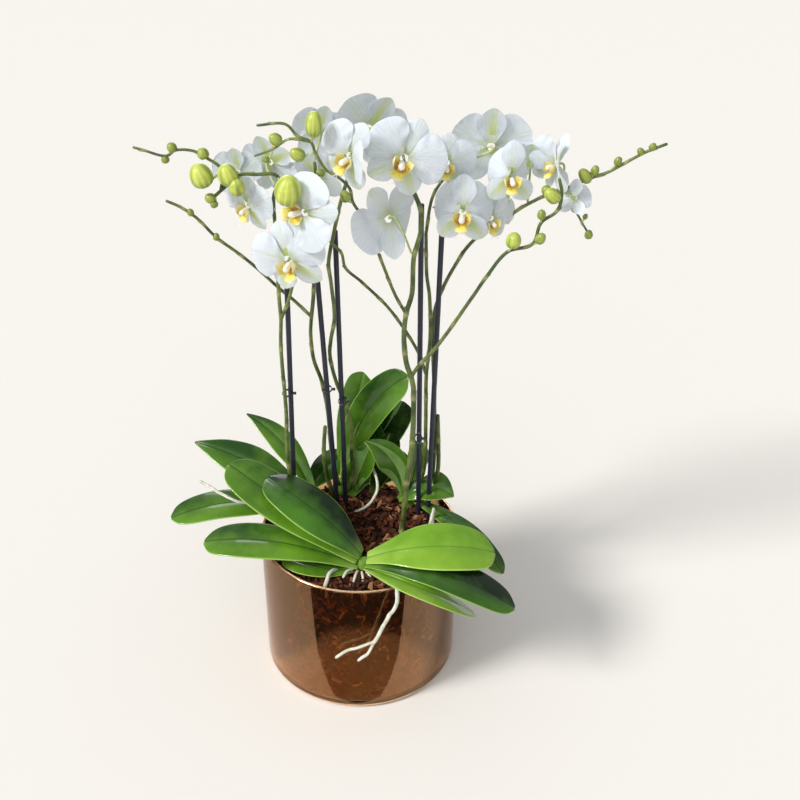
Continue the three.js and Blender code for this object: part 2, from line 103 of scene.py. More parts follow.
# Plant sizes
STAKE_RADIUS = 3
STAKE_FOOT_Z = 14
STAKE_STEPS = 12
LEAF_THICKNESS = 1.7
LEAF_GRID = (26, 12)
TEPAL_THICKNESS = 0.55
TEPAL_GRID = (14, 12)
TEPAL_START = 3.8
PETAL_ANGLE = 66
LATERAL_ANGLE = 142
PEDICEL_RADIUS = 1.3
BUD_STALK_RADIUS = 1.1
SMALL_BUD = 7.5
SMALL_BUD_PULL = 0.25
SMALL_BUD_SIZE = 0.9
THICK_STEM = 2
THICK_NODE_SPACING = 58
THIN_NODE_SPACING = 27
SHORTEST_WITH_BRACTS = 40
CROWN_RADII = (9, 9.6, 9.8, 9.6, 9, 8, 5.6)
SECTION_SPACING = 4

# Leaf greens: dark and light patches, midrib line, margin, and how much darker the far half is painted as
# shade
# The darker midrib line is painted shade in its groove; the deep green is partly the leaves' own dark green,
# partly painted shade
LEAF_GREENS = {
    "leaf_fresh": ((0.1, 0.26, 0.012), (0.3, 0.5, 0.04), (0.06, 0.18, 0.012), (0.42, 0.58, 0.13), 0.35),
    "leaf_middle": ((0.012, 0.056, 0.005), (0.14, 0.31, 0.018), (0.008, 0.04, 0.004), (0.3, 0.48, 0.08),
                    0.42),
    "leaf_deep": ((0.003, 0.014, 0.002), (0.065, 0.2, 0.012), (0.004, 0.018, 0.002), (0.26, 0.44, 0.07),
                  0.75),
}

# Half width of a blade along its length, as (share of the length, share of the half width)
LEAF_OUTLINE = ((0, 0.26), (0.15, 0.48), (0.4, 0.88), (0.62, 1), (0.84, 0.9), (0.95, 0.62), (1, 0.1))
PETAL_OUTLINE = ((0, 0.12), (0.1, 0.3), (0.25, 0.7), (0.45, 0.98), (0.62, 1), (0.8, 0.86), (0.93, 0.54),
                 (1, 0.08))
SEPAL_OUTLINE = ((0, 0.28), (0.2, 0.62), (0.45, 0.97), (0.6, 1), (0.8, 0.8), (0.93, 0.46), (1, 0.08))
POINTED_LEAF_OUTLINE = ((0, 0.3), (0.2, 0.6), (0.45, 0.98), (0.6, 1), (0.78, 0.72), (0.9, 0.36), (1, 0.04))
LIP_OUTLINE = ((0, 0.4), (0.3, 0.62), (0.55, 1), (0.8, 0.62), (1, 0.1))
LOBE_OUTLINE = ((0, 0.4), (0.35, 0.9), (0.7, 1), (1, 0.25))
BRACT_OUTLINE = ((0, 1), (0.5, 0.8), (1, 0.08))

# How a blade's surface leaves the plane of its midrib: fold is the rise of the sides, curl the bend of the
# margins, wave the height of the ripples along them, and groove the depth of the channel over the midrib
LEAF_FORM = {"curl": -0.09, "wave": 1.1, "ripples": 1.3, "groove": 1.1}
PETAL_FORM = {"fold": 0, "curl": -0.13, "wave": 1.9, "ripples": 3.2, "groove": 0.5}
SEPAL_FORM = {"fold": 0, "curl": -0.14, "wave": 0.5, "ripples": 1.8, "groove": 0.3}
LIP_FORM = {"fold": 0, "curl": -0.3, "wave": 0.2, "ripples": 2, "groove": 0.4}
LOBE_FORM = {"fold": 0.1, "curl": 0.5, "wave": 0.2, "ripples": 2, "groove": 0}
BRACT_FORM = {"fold": 0, "curl": -0.9, "wave": 0, "ripples": 1, "groove": 0}

# Flower parts; the lip's size and how far it hangs below the middle
LIP_SHARE = 1.35
LIP_DROP = 5
PETAL = {"length": 43, "width": 50, "droop": -3, "outline": PETAL_OUTLINE, "form": PETAL_FORM}
DORSAL_SEPAL = {"length": 41, "width": 29, "droop": -5, "outline": SEPAL_OUTLINE, "form": SEPAL_FORM}
LATERAL_SEPAL = {"length": 40, "width": 28, "droop": -7, "outline": SEPAL_OUTLINE, "form": SEPAL_FORM}

# Stakes: foot at bark level, and top
STAKES = {
    "stake_left": ((-83, 33, 168), (-79, 33, 500)),
    "stake_back_left": ((-31, 58, 168), (-48, 56, 500)),
    "stake_back": ((-21, 65, 168), (-27, 61, 545)),
    "stake_right_front": ((72, 42, 168), (66, 26, 590)),
    "stake_right": ((84, 40, 168), (89, 42, 560)),
}

CLIPS = ("clip_left", "clip_back_left", "clip_back", "clip_right_front")

# Crowns, where a plant's leaves, roots and spikes start: middle, bottom and top
CROWNS = {
    "front": (7, -58, 140, 182),
    "left": (-60, 46, 140, 186),
    "back": (-30, 88, 140, 190),
    "right": (60, 68, 140, 190),
}

# Spikes: a main stem and its branches as routes, and buds on short stalks.
# A route is (radius, points); a bud is (centre, radius, length share, foot of the stalk).
SPIKES = {
    "front_spike": {
        "crown": "front",
        "routes": (
            (3.6, ((7, -58, 150), (28, -34, 152), (46, -6, 158), (52, 7, 178), (54, 9, 212), (57, 15, 250),
                   (62, 16, 300), (62, 16, 372), (59, 16, 388))),
            (2.9, ((59, 16, 388), (53, 15, 408), (50, 15, 440), (52, 15, 468), (58, 14, 494), (59, 13, 535),
                   (66, 12, 568), (65, 11, 590), (53, 12, 618))),
            (2.1, ((59, 16, 388), (66, 14, 402), (88, 12, 432), (124, 10, 494), (138, 9, 519), (157, 8, 546),
                   (182, 6, 556), (189, 5, 580), (204, 3, 594), (207, 2, 612), (203, 1, 628))),
            (1.7, ((52, 15, 468), (40, 12, 492), (27, 8, 528), (8, 5, 580), (-4, 2, 600), (-7, -1, 616),
                   (-18, -3, 628), (-30, -4, 636), (-41, -4, 655), (-44, -4, 664), (-57, -3, 669),
                   (-69, -3, 681), (-96, -2, 679))),
            (1.4, ((-44, -4, 664), (-65, -2, 666), (-82, -3, 656), (-100, -4, 649))),
        ),
        "buds": (
            ((162, 3, 561), 8, 1.1, (157, 8, 546)), ((192, 0, 567), 6, 1.2, (182, 6, 556)),
            ((188, 0, 594), 5, 1.2, (189, 5, 580)), ((197, -2, 612), 7.5, 1.3, (207, 2, 612)),
            ((-40, -12, 684), 8.5, 1.5, (-44, -4, 664)), ((-63, -10, 652), 7.4, 1.2, (-41, -4, 655)),
            ((-83, -10, 668), 6.8, 1.1, (-65, -2, 666)), ((-37, -10, 634), 4.5, 1.2, (-30, -4, 636)),
            ((-14, -7, 612), 6, 1.2, (-4, 2, 600)), ((-92, -4, 642), 3.5, 1.3, (-82, -3, 656)),
        ),
    },
    "left_spike": {
        "crown": "left",
        "routes": (
            (2.5, ((-60, 46, 178), (-78, 32, 198), (-87, 25, 262), (-86, 24, 336), (-88, 23, 418),
                   (-86, 22, 456))),
            (2.1, ((-86, 22, 456), (-87, 21, 492), (-86, 19, 545), (-86, 14, 600), (-80, 8, 624),
                   (-103, 2, 628), (-117, 0, 628), (-135, 0, 613), (-143, 0, 606))),
            (1.9, ((-86, 22, 456), (-76, 19, 482), (-68, 18, 512), (-60, 20, 545), (-54, 22, 570))),
            (1.6, ((-137, 0, 612), (-134, 1, 632), (-150, 2, 645), (-162, 3, 651), (-180, 4, 651),
                   (-190, 4, 645), (-212, 6, 650), (-222, 8, 652))),
        ),
        "buds": (
            ((-155, -4, 628), 11.5, 1.1, (-134, 1, 632)), ((-128, -6, 630), 10, 1.15, (-117, 0, 628)),
            ((-119, -10, 619), 8, 1.15, (-117, 0, 628)), ((-67, -20, 620), 13.5, 1.2, (-80, 8, 624)),
            ((-153, 2, 650), 6.5, 1, (-150, 2, 645)), ((-184, 4, 655), 5.5, 1, (-180, 4, 651)),
            ((-191, 4, 640), 4.5, 1, (-190, 4, 645)), ((-150, -2, 603), 6, 1, (-143, 0, 606)),
            ((-145, -4, 595), 4.5, 1, (-143, 0, 606)),
        ),
    },
    "back_left_spike": {
        "crown": "back",
        "routes": (
            (2.6, ((-30, 88, 178), (-33, 76, 205), (-38, 68, 252), (-41, 67, 310), (-47, 65, 352),
                   (-55, 58, 386), (-57, 54, 421), (-55, 49, 446))),
            (2.2, ((-55, 49, 446), (-52, 47, 470), (-50, 47, 500), (-46, 47, 545), (-44, 48, 590),
                   (-46, 50, 625))),
            (1.9, ((-55, 49, 446), (-75, 46, 469), (-89, 44, 483), (-111, 40, 508), (-130, 37, 527),
                   (-152, 33, 547), (-170, 29, 570), (-186, 27, 583), (-199, 25, 590))),
        ),
        "buds": (
            ((-152, 33, 548), 4, 1.2, (-152, 33, 547)), ((-178, 28, 579), 4, 1.2, (-170, 29, 570)),
        ),
    },
    "back_spike": {
        "routes": (
            (2.4, ((-19, 82, 174), (-12, 76, 205), (-13, 72, 245), (-13, 70, 290), (-20, 71, 318),
                   (-30, 68, 350), (-36, 60, 390), (-34, 54, 414), (-29, 50, 445), (-32, 50, 489),
                   (-34, 49, 512), (-28, 50, 545), (-20, 54, 580), (-8, 60, 618), (2, 62, 645))),
        ),
        "buds": (),
    },
    "right_spike": {
        "crown": "right",
        "routes": (
            (2.4, ((60, 68, 178), (70, 60, 200), (78, 50, 240), (78, 49, 309), (77, 48, 372), (80, 47, 420),
                   (78, 46, 474), (74, 45, 502), (72, 45, 550))),
            (1.8, ((72, 45, 550), (78, 48, 590), (92, 52, 612), (110, 56, 625))),
            (1.9, ((77, 48, 372), (66, 57, 400), (34, 57, 452), (2, 55, 487), (-15, 45, 508), (-19, 36, 530),
                   (-30, 30, 545))),
        ),
        "buds": (),
    },
    "right_long_spike": {
        "routes": (
            (2.4, ((70, 78, 174), (86, 66, 205), (90, 56, 250), (88, 53, 330), (84, 54, 410), (86, 52, 462),
                   (112, 47, 526), (134, 44, 556))),
            (1.9, ((134, 44, 556), (157, 42, 570), (172, 40, 583), (203, 36, 602), (222, 33, 610),
                   (240, 32, 619), (256, 30, 626), (290, 27, 648), (311, 25, 658))),
            (1.3, ((222, 33, 610), (225, 30, 590), (235, 30, 572), (243, 29, 560))),
        ),
        "buds": (
            ((193, 30, 606), 6, 1.1, (203, 36, 602)), ((231, 29, 623), 6.8, 1.5, (240, 32, 619)),
            ((244, 29, 631), 5, 1.2, (240, 32, 619)), ((268, 27, 643), 4.5, 1.2, (256, 30, 626)),
            ((285, 26, 650), 4, 1.2, (290, 27, 648)), ((300, 25, 657), 4, 1.2, (290, 27, 648)),
            ((227, 27, 585), 4, 1.2, (225, 30, 590)), ((244, 28, 558), 5, 1.1, (243, 29, 560)),
            ((239, 27, 581), 3, 1.2, (235, 30, 572)),
        ),
    },
    "back_cut_spike": {
        "routes": ((2.9, ((-36, 76, 174), (-42, 64, 205), (-46, 59, 240), (-46, 58, 265), (-44, 58, 292))),),
        "buds": (),
    },
    "right_cut_spike": {
        "routes": ((2.9, ((84, 62, 176), (91, 57, 205), (95, 49, 240), (94, 48, 280), (92, 46, 318))),),
        "buds": (),
    },
}

# Leaves: foot, middle and tip of the midrib, where the upper face looks, width, fold and green; deep green is
# partly painted shade
LEAVES = {
    "front_leaf_right_top": ((10, -57, 184), (84, -66, 210), (161, -54, 193), (0, -0.3, 1), 66, 0.1, "fresh"),
    "front_leaf_right_middle": ((10, -61, 179), (94, -94, 196), (182, -113, 160), (0.1, -0.12, 1), 54, 0.08,
                                "deep"),
    "front_leaf_right_low": ((10, -65, 176), (72, -114, 190), (137, -108, 147), (0.1, 0.12, 1), 44, 0.08,
                             "fresh"),
    "front_leaf_left_top": ((4, -53, 186), (-42, -34, 226), (-112, 16, 246), (0.35, -0.35, 1), 62, 0.05,
                            "deep"),
    "front_leaf_left_middle": ((1, -56, 181), (-82, -14, 222), (-161, 34, 252), (0.3, -0.5, 1), 60, 0.12,
                               "middle"),
    "front_leaf_left_low": ((1, -60, 176), (-95, -52, 202), (-184, -40, 191), (0, -0.2, 1), 54, 0.06,
                            "middle"),
    "front_leaf_small": ((-6, -66, 174), (-48, -68, 179), (-88, -50, 180), (0, -0.1, 1), 34, 0.05, "middle"),
    "left_leaf_high": ((-70, 50, 188), (-135, 64, 230), (-213, 90, 246), (0.1, -0.5, 1), 50, 0.1, "middle"),
    "left_leaf_back": ((-62, 57, 190), (-96, 90, 238), (-149, 118, 272), (0.3, -0.5, 1), 34, 0.3, "middle"),
    "left_leaf_low": ((-70, 42, 178), (-150, 22, 204), (-231, 2, 193), (0, -0.2, 1), 48, 0.06, "middle"),
    "back_leaf_tall": ((-30, 98, 192), (-14, 106, 270), (0, 110, 340), (-0.3, -1, 0.4), 42, 0.1, "middle"),
    "back_leaf_big": ((-24, 92, 194), (4, 84, 294), (56, 74, 356), (-0.2, -1, 0.7), 46, 0.08, "middle"),
    "back_leaf_dark": ((-20, 92, 184), (24, 108, 245), (50, 114, 296), (0.3, -1, 0.5), 46, 0.1, "deep"),
    "back_leaf_small": ((-13, 80, 180), (0, 70, 228), (15, 62, 272), (-0.4, -1, 0.5), 32, 0.15, "middle"),
    "right_leaf_left": ((54, 58, 192), (38, 56, 246), (4, 50, 277), (-0.3, -1, 0.8), 36, 0.35, "middle"),
    "right_leaf_back": ((64, 77, 192), (70, 86, 230), (80, 84, 250), (0.6, -1, 0.8), 34, 0.25, "middle"),
    "right_leaf_folded": ((64, 60, 190), (89, 50, 209), (116, 42, 202), (0.15, -0.45, 1), 44, 0.28,
                          "middle"),
    "right_leaf_low": ((68, 58, 182), (122, -2, 190), (172, -60, 166), (0, -0.1, 1), 32, 0.05, "middle"),
}

# Leaves that end in a point
POINTED_LEAVES = ("left_leaf_back", "left_leaf_high", "back_leaf_small", "back_leaf_round",
                  "right_leaf_left", "right_leaf_folded")

# Leaves behind the main ones, with the same values; those in deep green are partly painted shade
SHADE_LEAVES = {
    "back_leaf_shade_left": ((-14, 96, 176), (0, 101, 226), (20, 104, 268), (-0.2, -1, 0.4), 36, 0.1, "deep"),
    "back_leaf_shade_right": ((12, 86, 172), (26, 94, 212), (36, 98, 258), (0.2, -1, 0.4), 34, 0.1, "deep"),
    "back_leaf_shade_low": ((-68, 86, 178), (-50, 97, 202), (-24, 104, 217), (0, -1, 0.5), 36, 0.1, "deep"),
    "back_leaf_shade_middle": ((18, 98, 174), (34, 103, 200), (60, 100, 216), (0, -1, 0.5), 36, 0.1, "deep"),
    "back_leaf_round": ((-16, 78, 174), (-9, 80, 203), (2, 83, 228), (-0.2, -1, 0.3), 40, 0.12, "middle"),
    "right_leaf_round": ((46, 58, 184), (66, 52, 203), (90, 50, 205), (-0.2, -0.9, 1), 26, 0.12, "middle"),
}

# Flowers: centre, facing (degrees to the right, degrees up), clockwise roll, size,
# lift of the left and right petal towards the face, and the foot of the pedicel on its spike
FLOWERS = {
    "flower_front_top": ((47, 0, 648), (4, 6), 26, 1.02, (0, 4), (54, 12, 616)),
    "flower_left_low": ((-70, -14, 544), (-20, 0), -20, 1, (2, -10), (-82, 17, 520)),
    "flower_left_mid": ((-52, -16, 596), (-35, 4), 78, 0.98, (-4, 6), (-57, 20, 560)),
    "flower_left_outer": ((-112, 6, 594), (-36, -4), 4, 0.74, (0, -8), (-88, 16, 580)),
    "flower_left_back": ((-92, 48, 626), (160, 5), 160, 0.78, (0, 0), (-84, 14, 612)),
    "flower_left_rear": ((-126, 44, 616), (170, 0), 4, 0.66, (0, 0), (-103, 6, 629)),
    "flower_centre": ((-6, -14, 654), (-28, 4), 24, 0.88, (-2, 30), (-17, -1, 630)),
    "flower_top_back": ((11, 66, 657), (196, 8), -30, 0.98, (0, 0), (2, 61, 646)),
    "flower_top_left": ((-41, 60, 654), (192, 0), -14, 0.72, (0, 0), (-46, 50, 627)),
    "flower_behind": ((-46, 74, 600), (170, 0), 30, 0.8, (0, 0), (-44, 51, 600)),
    "flower_hanging": ((33, 12, 580), (214, -16), 176, 1.04, (8, 24), (57, 12, 540)),
    "flower_middle": ((91, 38, 631), (8, 0), 6, 0.76, (0, 0), (86, 51, 606)),
    "flower_right_front": ((108, 8, 590), (-6, 4), 0, 0.94, (-24, -24), (78, 45, 580)),
    "flower_right_back": ((138, 62, 641), (180, 0), 0, 1.04, (0, 0), (111, 56, 626)),
    "flower_right_narrow": ((157, 18, 626), (4, 2), 2, 0.86, (-36, -36), (158, 40, 574)),
    "flower_right_lower": ((139, 28, 575), (26, 0), 0, 0.72, (0, 0), (126, 43, 544)),
    "flower_right_rear": ((181, 56, 629), (165, 20), 0, 0.58, (0, 0), (178, 41, 588)),
    "flower_right_top": ((204, 34, 633), (-66, 14), -6, 0.78, (24, 26), (208, 35, 606)),
    "flower_right_hanging": ((222, 14, 604), (158, -24), 0, 0.48, (32, 32), (212, 32, 605)),
}

# Short root tips under the front crown
ROOT_TIPS = (
    (1.7, ((-6, -66, 174), (-12, -74, 177), (-16, -80, 174))),
    (1.6, ((0, -68, 172), (-2, -78, 174), (-4, -84, 170))),
    (1.5, ((5, -69, 172), (6, -79, 173), (7, -86, 169))),
    (1.4, ((10, -68, 172), (14, -76, 173), (17, -81, 169))),
)

# Short root that arches over the bark on the right
RIGHT_ROOT = ((1.9, ((90, 18, 170), (90, 12, 202), (89, 4, 209), (86, -6, 200), (83, -14, 190))),)

# Aerial roots: (radius, points) for each strand. A root wanders from its route by up to ROOT_WANDER
ROOT_WANDER = 0.9
ROOT_SEED = 7
ROOTS = {
    "left_aerial_root": ((1.9, ((-66, 30, 180), (-96, 4, 192), (-124, 6, 210), (-150, 0, 222),
                                (-170, 12, 224), (-197, 32, 226))),),
    "hanging_root": (
        (2.3, ((18, -66, 168), (34, -88, 178), (44, -108, 187), (47, -120, 187), (46, -127, 176),
               (38, -127, 158), (21, -127, 117))),
        (1.7, ((21, -127, 117), (8, -127, 111), (-13, -127, 101), (-23, -127, 92))),
        (1.7, ((21, -127, 117), (14, -127, 100), (3, -127, 88))),
    ),
    "back_aerial_root": ((1.8, ((14, 78, 216), (19, 54, 216), (20, 43, 210), (15, 36, 200), (6, 40, 185),
                                (-8, 45, 172))),),
    "front_aerial_root": ((2.3, ((-18, -68, 168), (-26, -70, 175), (-31, -78, 179), (-34, -87, 177),
                                 (-37, -93, 169))),),
}


# Camera and studio

def add_object(name, data):
    thing = bpy.data.objects.new(name, data)
    bpy.context.scene.collection.objects.link(thing)
    return thing


def set_camera():
    lens = bpy.data.cameras.new("camera")
    lens.lens = CAMERA_LENS
    lens.sensor_width = SENSOR_WIDTH
    lens.clip_start = 0.01
    lens.clip_end = 100
    camera = add_object("camera", lens)
    down = math.radians(CAMERA_DOWN)
    ahead = Vector((0, math.cos(down), -math.sin(down)))
    level = Vector((1, 0, 0))
    roll = Matrix.Rotation(math.radians(CAMERA_ROLL), 3, -ahead)
    right = roll @ level
    up = roll @ level.cross(ahead)
    turn = Matrix((right, up, -ahead)).transposed()
    camera.matrix_world = Matrix.Translation(Vector(CAMERA_PLACE) * MM) @ turn.to_4x4()
    bpy.context.scene.camera = camera


def set_studio():
    """A pale even surround, a soft lamp from the front left, a very wide weaker one from the front,
    and a softbox behind that only shows as gloss."""
    bpy.context.scene.view_settings.view_transform = "Standard"
    for name, (strength, spread, way, colour) in LAMPS.items():
        sun = bpy.data.lights.new(name, "SUN")
        sun.energy = strength
        sun.angle = math.radians(spread)
        sun.color = colour
        lamp = add_object(name, sun)
        lamp.rotation_euler = Vector(way).to_track_quat("-Z", "Y").to_euler()

    box = bpy.data.lights.new("leaf_softbox", "AREA")
    box.energy = SOFTBOX_POWER
    box.size = SOFTBOX_SIZE * MM
    softbox = add_object("leaf_softbox", box)
    place = Vector(SOFTBOX_PLACE)
    softbox.location = place * MM
    softbox.rotation_euler = (Vector(SOFTBOX_AIM) - place).to_track_quat("-Z", "Y").to_euler()
    softbox.visible_diffuse = False
    softbox.visible_transmission = False

    world = bpy.data.worlds.new("surround")
    bpy.context.scene.world = world
    world.use_nodes = True
    nodes = world.node_tree.nodes
    links = world.node_tree.links
    light = nodes["Background"]
    light.inputs["Color"].default_value = (*WORLD_COLOUR, 1)
    light.inputs["Strength"].default_value = WORLD_STRENGTH
    backdrop = nodes.new("ShaderNodeBackground")
    backdrop.inputs["Color"].default_value = (*BACKDROP_COLOUR, 1)
    rays = nodes.new("ShaderNodeLightPath")
    choice = nodes.new("ShaderNodeMixShader")
    links.new(rays.outputs["Is Camera Ray"], choice.inputs["Fac"])
    links.new(light.outputs["Background"], choice.inputs[1])
    links.new(backdrop.outputs["Background"], choice.inputs[2])
    links.new(choice.outputs["Shader"], nodes["World Output"].inputs["Surface"])


def lay_floor(material):
    bm = bmesh.new()
    bmesh.ops.create_grid(bm, x_segments=1, y_segments=1, size=FLOOR_SIZE * MM / 2)
    mesh = bpy.data.meshes.new("studio_floor")
    bm.to_mesh(mesh)
    bm.free()
    mesh.materials.append(material)
    add_object("studio_floor", mesh)


def lay_card(material):
    right = [Vector((x, y, CARD_HEIGHT)) for x, y in CARD_OUTLINE]
    left = [Vector((-x, y, CARD_HEIGHT)) for x, y in reversed(CARD_OUTLINE) if x]
    bm = bmesh.new()
    bm.faces.new([bm.verts.new(point * MM) for point in left + right])
    bmesh.ops.recalc_face_normals(bm, faces=bm.faces)
    mesh = bpy.data.meshes.new("black_card")
    bm.to_mesh(mesh)
    bm.free()
    mesh.materials.append(material)
    card = add_object("black_card", mesh)
    card.visible_camera = False
    card.visible_diffuse = False
    card.visible_transmission = False
    card.visible_shadow = False


# Shader node groups

def new_group(name, inputs, outputs):
    """A node group with float inputs and outputs; a Vector input is named Place."""
    group = bpy.data.node_groups.new(name, "ShaderNodeTree")
    for label, value in inputs.items():
        kind = "NodeSocketVector" if label == "Place" else "NodeSocketFloat"
        socket = group.interface.new_socket(name=label, in_out="INPUT", socket_type=kind)
        if kind == "NodeSocketFloat":
            socket.default_value = value
    for label in outputs:
        group.interface.new_socket(name=label, in_out="OUTPUT", socket_type="NodeSocketFloat")
    return group, group.nodes.new("NodeGroupInput"), group.nodes.new("NodeGroupOutput")


def plug(tree, value, socket):
    """Links a socket, or sets a plain number."""
    if isinstance(value, bpy.types.NodeSocket):
        tree.links.new(value, socket)
    else:
        socket.default_value = value


def sum_of(tree, operation, first, second=0.0):
    node = tree.nodes.new("ShaderNodeMath")
    node.operation = operation
    plug(tree, first, node.inputs[0])
    plug(tree, second, node.inputs[1])
    return node.outputs[0]


def span(tree, value, low, high, to_low=0.0, to_high=1.0):
    """A value brought smoothly from one range to another."""
    node = tree.nodes.new("ShaderNodeMapRange")
    node.interpolation_type = "SMOOTHSTEP"
    plug(tree, value, node.inputs["Value"])
    plug(tree, low, node.inputs["From Min"])
    plug(tree, high, node.inputs["From Max"])
    node.inputs["To Min"].default_value = to_low
    node.inputs["To Max"].default_value = to_high
    return node.outputs["Result"]


def blended(tree, factor, low, high):
    """A colour between two colours or colour sockets."""
    node = tree.nodes.new("ShaderNodeMix")
    node.data_type = "RGBA"
    plug(tree, factor, node.inputs["Factor"])
    plug(tree, low if isinstance(low, bpy.types.NodeSocket) else (*low, 1), node.inputs[6])
    plug(tree, high if isinstance(high, bpy.types.NodeSocket) else (*high, 1), node.inputs[7])
    return node.outputs[2]


def noise_value(tree, place, scale, detail=3.0, roughness=0.55):
    node = tree.nodes.new("ShaderNodeTexNoise")
    plug(tree, place, node.inputs["Vector"])
    plug(tree, scale, node.inputs["Scale"])
    node.inputs["Detail"].default_value = detail
    node.inputs["Roughness"].default_value = roughness
    return node.outputs["Fac"]


def build_mottle():
    """Soft cloudy variation of two sizes."""
    group, given, result = new_group("soft mottle", {"Place": 0, "Scale": 60.0}, ["Value"])
    broad = noise_value(group, given.outputs["Place"], given.outputs["Scale"])
    fine_scale = sum_of(group, "MULTIPLY", given.outputs["Scale"], 6.0)
    fine = noise_value(group, given.outputs["Place"], fine_scale, 2.0)
    both = sum_of(group, "MULTIPLY_ADD", fine, 0.3)
    group.links.new(broad, both.node.inputs[2])
    group.links.new(span(group, both, 0.4, 0.95), result.inputs["Value"])
    return group


def build_streaks():
    """Fine lines that run along a blade, as veins and fibres do."""
    group, given, result = new_group("long streaks", {"Along": 0.0, "Around": 0.0, "Count": 20.0}, ["Value"])
    across = sum_of(group, "MULTIPLY", given.outputs["Around"], given.outputs["Count"])
    place = group.nodes.new("ShaderNodeCombineXYZ")
    group.links.new(given.outputs["Along"], place.inputs["X"])
    group.links.new(across, place.inputs["Y"])
    lines = noise_value(group, place.outputs["Vector"], 1.6)
    group.links.new(span(group, lines, 0.3, 0.72), result.inputs["Value"])
    return group


def build_specks():
    """Small scattered spots; Amount is the share of spots that show."""
    group, given, result = new_group("specks", {"Place": 0, "Scale": 600.0, "Amount": 0.4}, ["Mask"])
    cells = group.nodes.new("ShaderNodeTexVoronoi")
    group.links.new(given.outputs["Place"], cells.inputs["Vector"])
    group.links.new(given.outputs["Scale"], cells.inputs["Scale"])
    spot = span(group, cells.outputs["Distance"], 0.2, 0.42, 1.0, 0.0)
    chance = group.nodes.new("ShaderNodeSeparateColor")
    group.links.new(cells.outputs["Color"], chance.inputs["Color"])
    kept = sum_of(group, "LESS_THAN", chance.outputs["Red"], given.outputs["Amount"])
    group.links.new(sum_of(group, "MULTIPLY", spot, kept), result.inputs["Mask"])
    return group


MOTTLE = build_mottle()
STREAKS = build_streaks()
SPECKS = build_specks()


# Materials

class Finish:
    """A material while its nodes are wired: its Principled shader, and the coordinates its patterns read."""

    def __init__(self, name, roughness, coat=0.0, subsurface=0.0):
        self.material = bpy.data.materials.new(name)
        self.material.use_nodes = True
        self.tree = self.material.node_tree
        self.shader = self.tree.nodes["Principled BSDF"]
        self.set({
            "Roughness": roughness,
            "Coat Weight": coat,
            "Coat Roughness": 0.12,
            "Subsurface Weight": subsurface,
            "Subsurface Radius": (0.0025, 0.0025, 0.0018),
            "Subsurface Scale": 1.0,
        })
        coordinates = self.tree.nodes.new("ShaderNodeTexCoord")
        self.place = coordinates.outputs["Object"]

    def attribute(self, name, output="Fac"):
        node = self.tree.nodes.new("ShaderNodeAttribute")
        node.attribute_name = name
        return node.outputs[output]

    def blade_axes(self):
        """Along a blade, sideways as a share of its length, and from its midrib to its margin."""
        split = self.tree.nodes.new("ShaderNodeSeparateXYZ")
        self.tree.links.new(self.attribute("blade", "Vector"), split.inputs["Vector"])
        return split.outputs["X"], split.outputs["Y"], split.outputs["Z"]

    def group(self, group, output, **values):
        node = self.tree.nodes.new("ShaderNodeGroup")
        node.node_tree = group
        for label, value in values.items():
            plug(self.tree, value, node.inputs[label])
        return node.outputs[output]

    def set(self, values):
        for label, value in values.items():
            self.shader.inputs[label].default_value = value

    def mottle(self, scale):
        return self.group(MOTTLE, "Value", Place=self.place, Scale=scale)

    def streaks(self, along, around, count):
        return self.group(STREAKS, "Value", Along=along, Around=around, Count=count)

    def specks(self, scale, amount):
        return self.group(SPECKS, "Mask", Place=self.place, Scale=scale, Amount=amount)

    def colour(self, socket):
        self.tree.links.new(socket, self.shader.inputs["Base Color"])

    def roughness(self, socket):
        self.tree.links.new(socket, self.shader.inputs["Roughness"])

    def bump(self, height, depth, strength=1.0):
        node = self.tree.nodes.new("ShaderNodeBump")
        node.inputs["Distance"].default_value = depth * MM
        node.inputs["Strength"].default_value = strength
        plug(self.tree, height, node.inputs["Height"])
        self.tree.links.new(node.outputs["Normal"], self.shader.inputs["Normal"])


def floor_finish():
    finish = Finish("studio_floor", 0.9)
    finish.set({"Base Color": (*FLOOR_COLOUR, 1), "Specular IOR Level": 0.1})
    return finish.material


def card_finish():
    finish = Finish("black_card", 0.9)
    finish.set({"Base Color": (0.012, 0.008, 0.007, 1)})
    return finish.material


def petal_finish(name, stripe):
    """White petal with fanned veins, green at the claw; stripe is how green its midrib is."""
    finish = Finish(name, 0.55, subsurface=0.28)
    tree = finish.tree
    along, sideways, _ = finish.blade_axes()
    fan = sum_of(tree, "ARCTAN2", sideways, sum_of(tree, "ADD", along, 0.05))
    veins = finish.streaks(along, fan, 26.0)
    body = blended(tree, sum_of(tree, "MULTIPLY", veins, 0.7), (0.8, 0.86, 0.91), (0.6, 0.68, 0.77))
    claw = span(tree, along, 0.02, 0.28, 1.0, 0.0)
    body = blended(tree, sum_of(tree, "MULTIPLY", claw, 0.6), body, (0.6, 0.7, 0.34))
    if stripe:
        rib = span(tree, sum_of(tree, "ABSOLUTE", sideways), 0.03, 0.24, 1.0, 0.0)
        fading = sum_of(tree, "MULTIPLY", rib, span(tree, along, 0.2, 1.0, stripe, stripe * 0.35))
        body = blended(tree, fading, body, (0.52, 0.63, 0.13))
    finish.colour(body)
    finish.bump(veins, 0.4, 0.8)
    return finish.material


def lip_finish():
    """Lemon lip, orange and red-brown in its throat, with darker flecks there."""
    finish = Finish("lip", 0.5, subsurface=0.2)
    tree = finish.tree
    along, *_ = finish.blade_axes()
    body = blended(tree, span(tree, along, 0.4, 1.0), (0.84, 0.7, 0.1), (0.88, 0.84, 0.5))
    body = blended(tree, span(tree, along, 0.05, 0.34, 0.85, 0.0), body, (0.6, 0.22, 0.05))
    flecks = finish.specks(520.0, 0.55)
    shown = sum_of(tree, "MULTIPLY", flecks, span(tree, along, 0.25, 0.7, 0.9, 0.0))
    finish.colour(blended(tree, shown, body, (0.3, 0.04, 0.03)))
    finish.bump(finish.mottle(300.0), 0.2)
    return finish.material


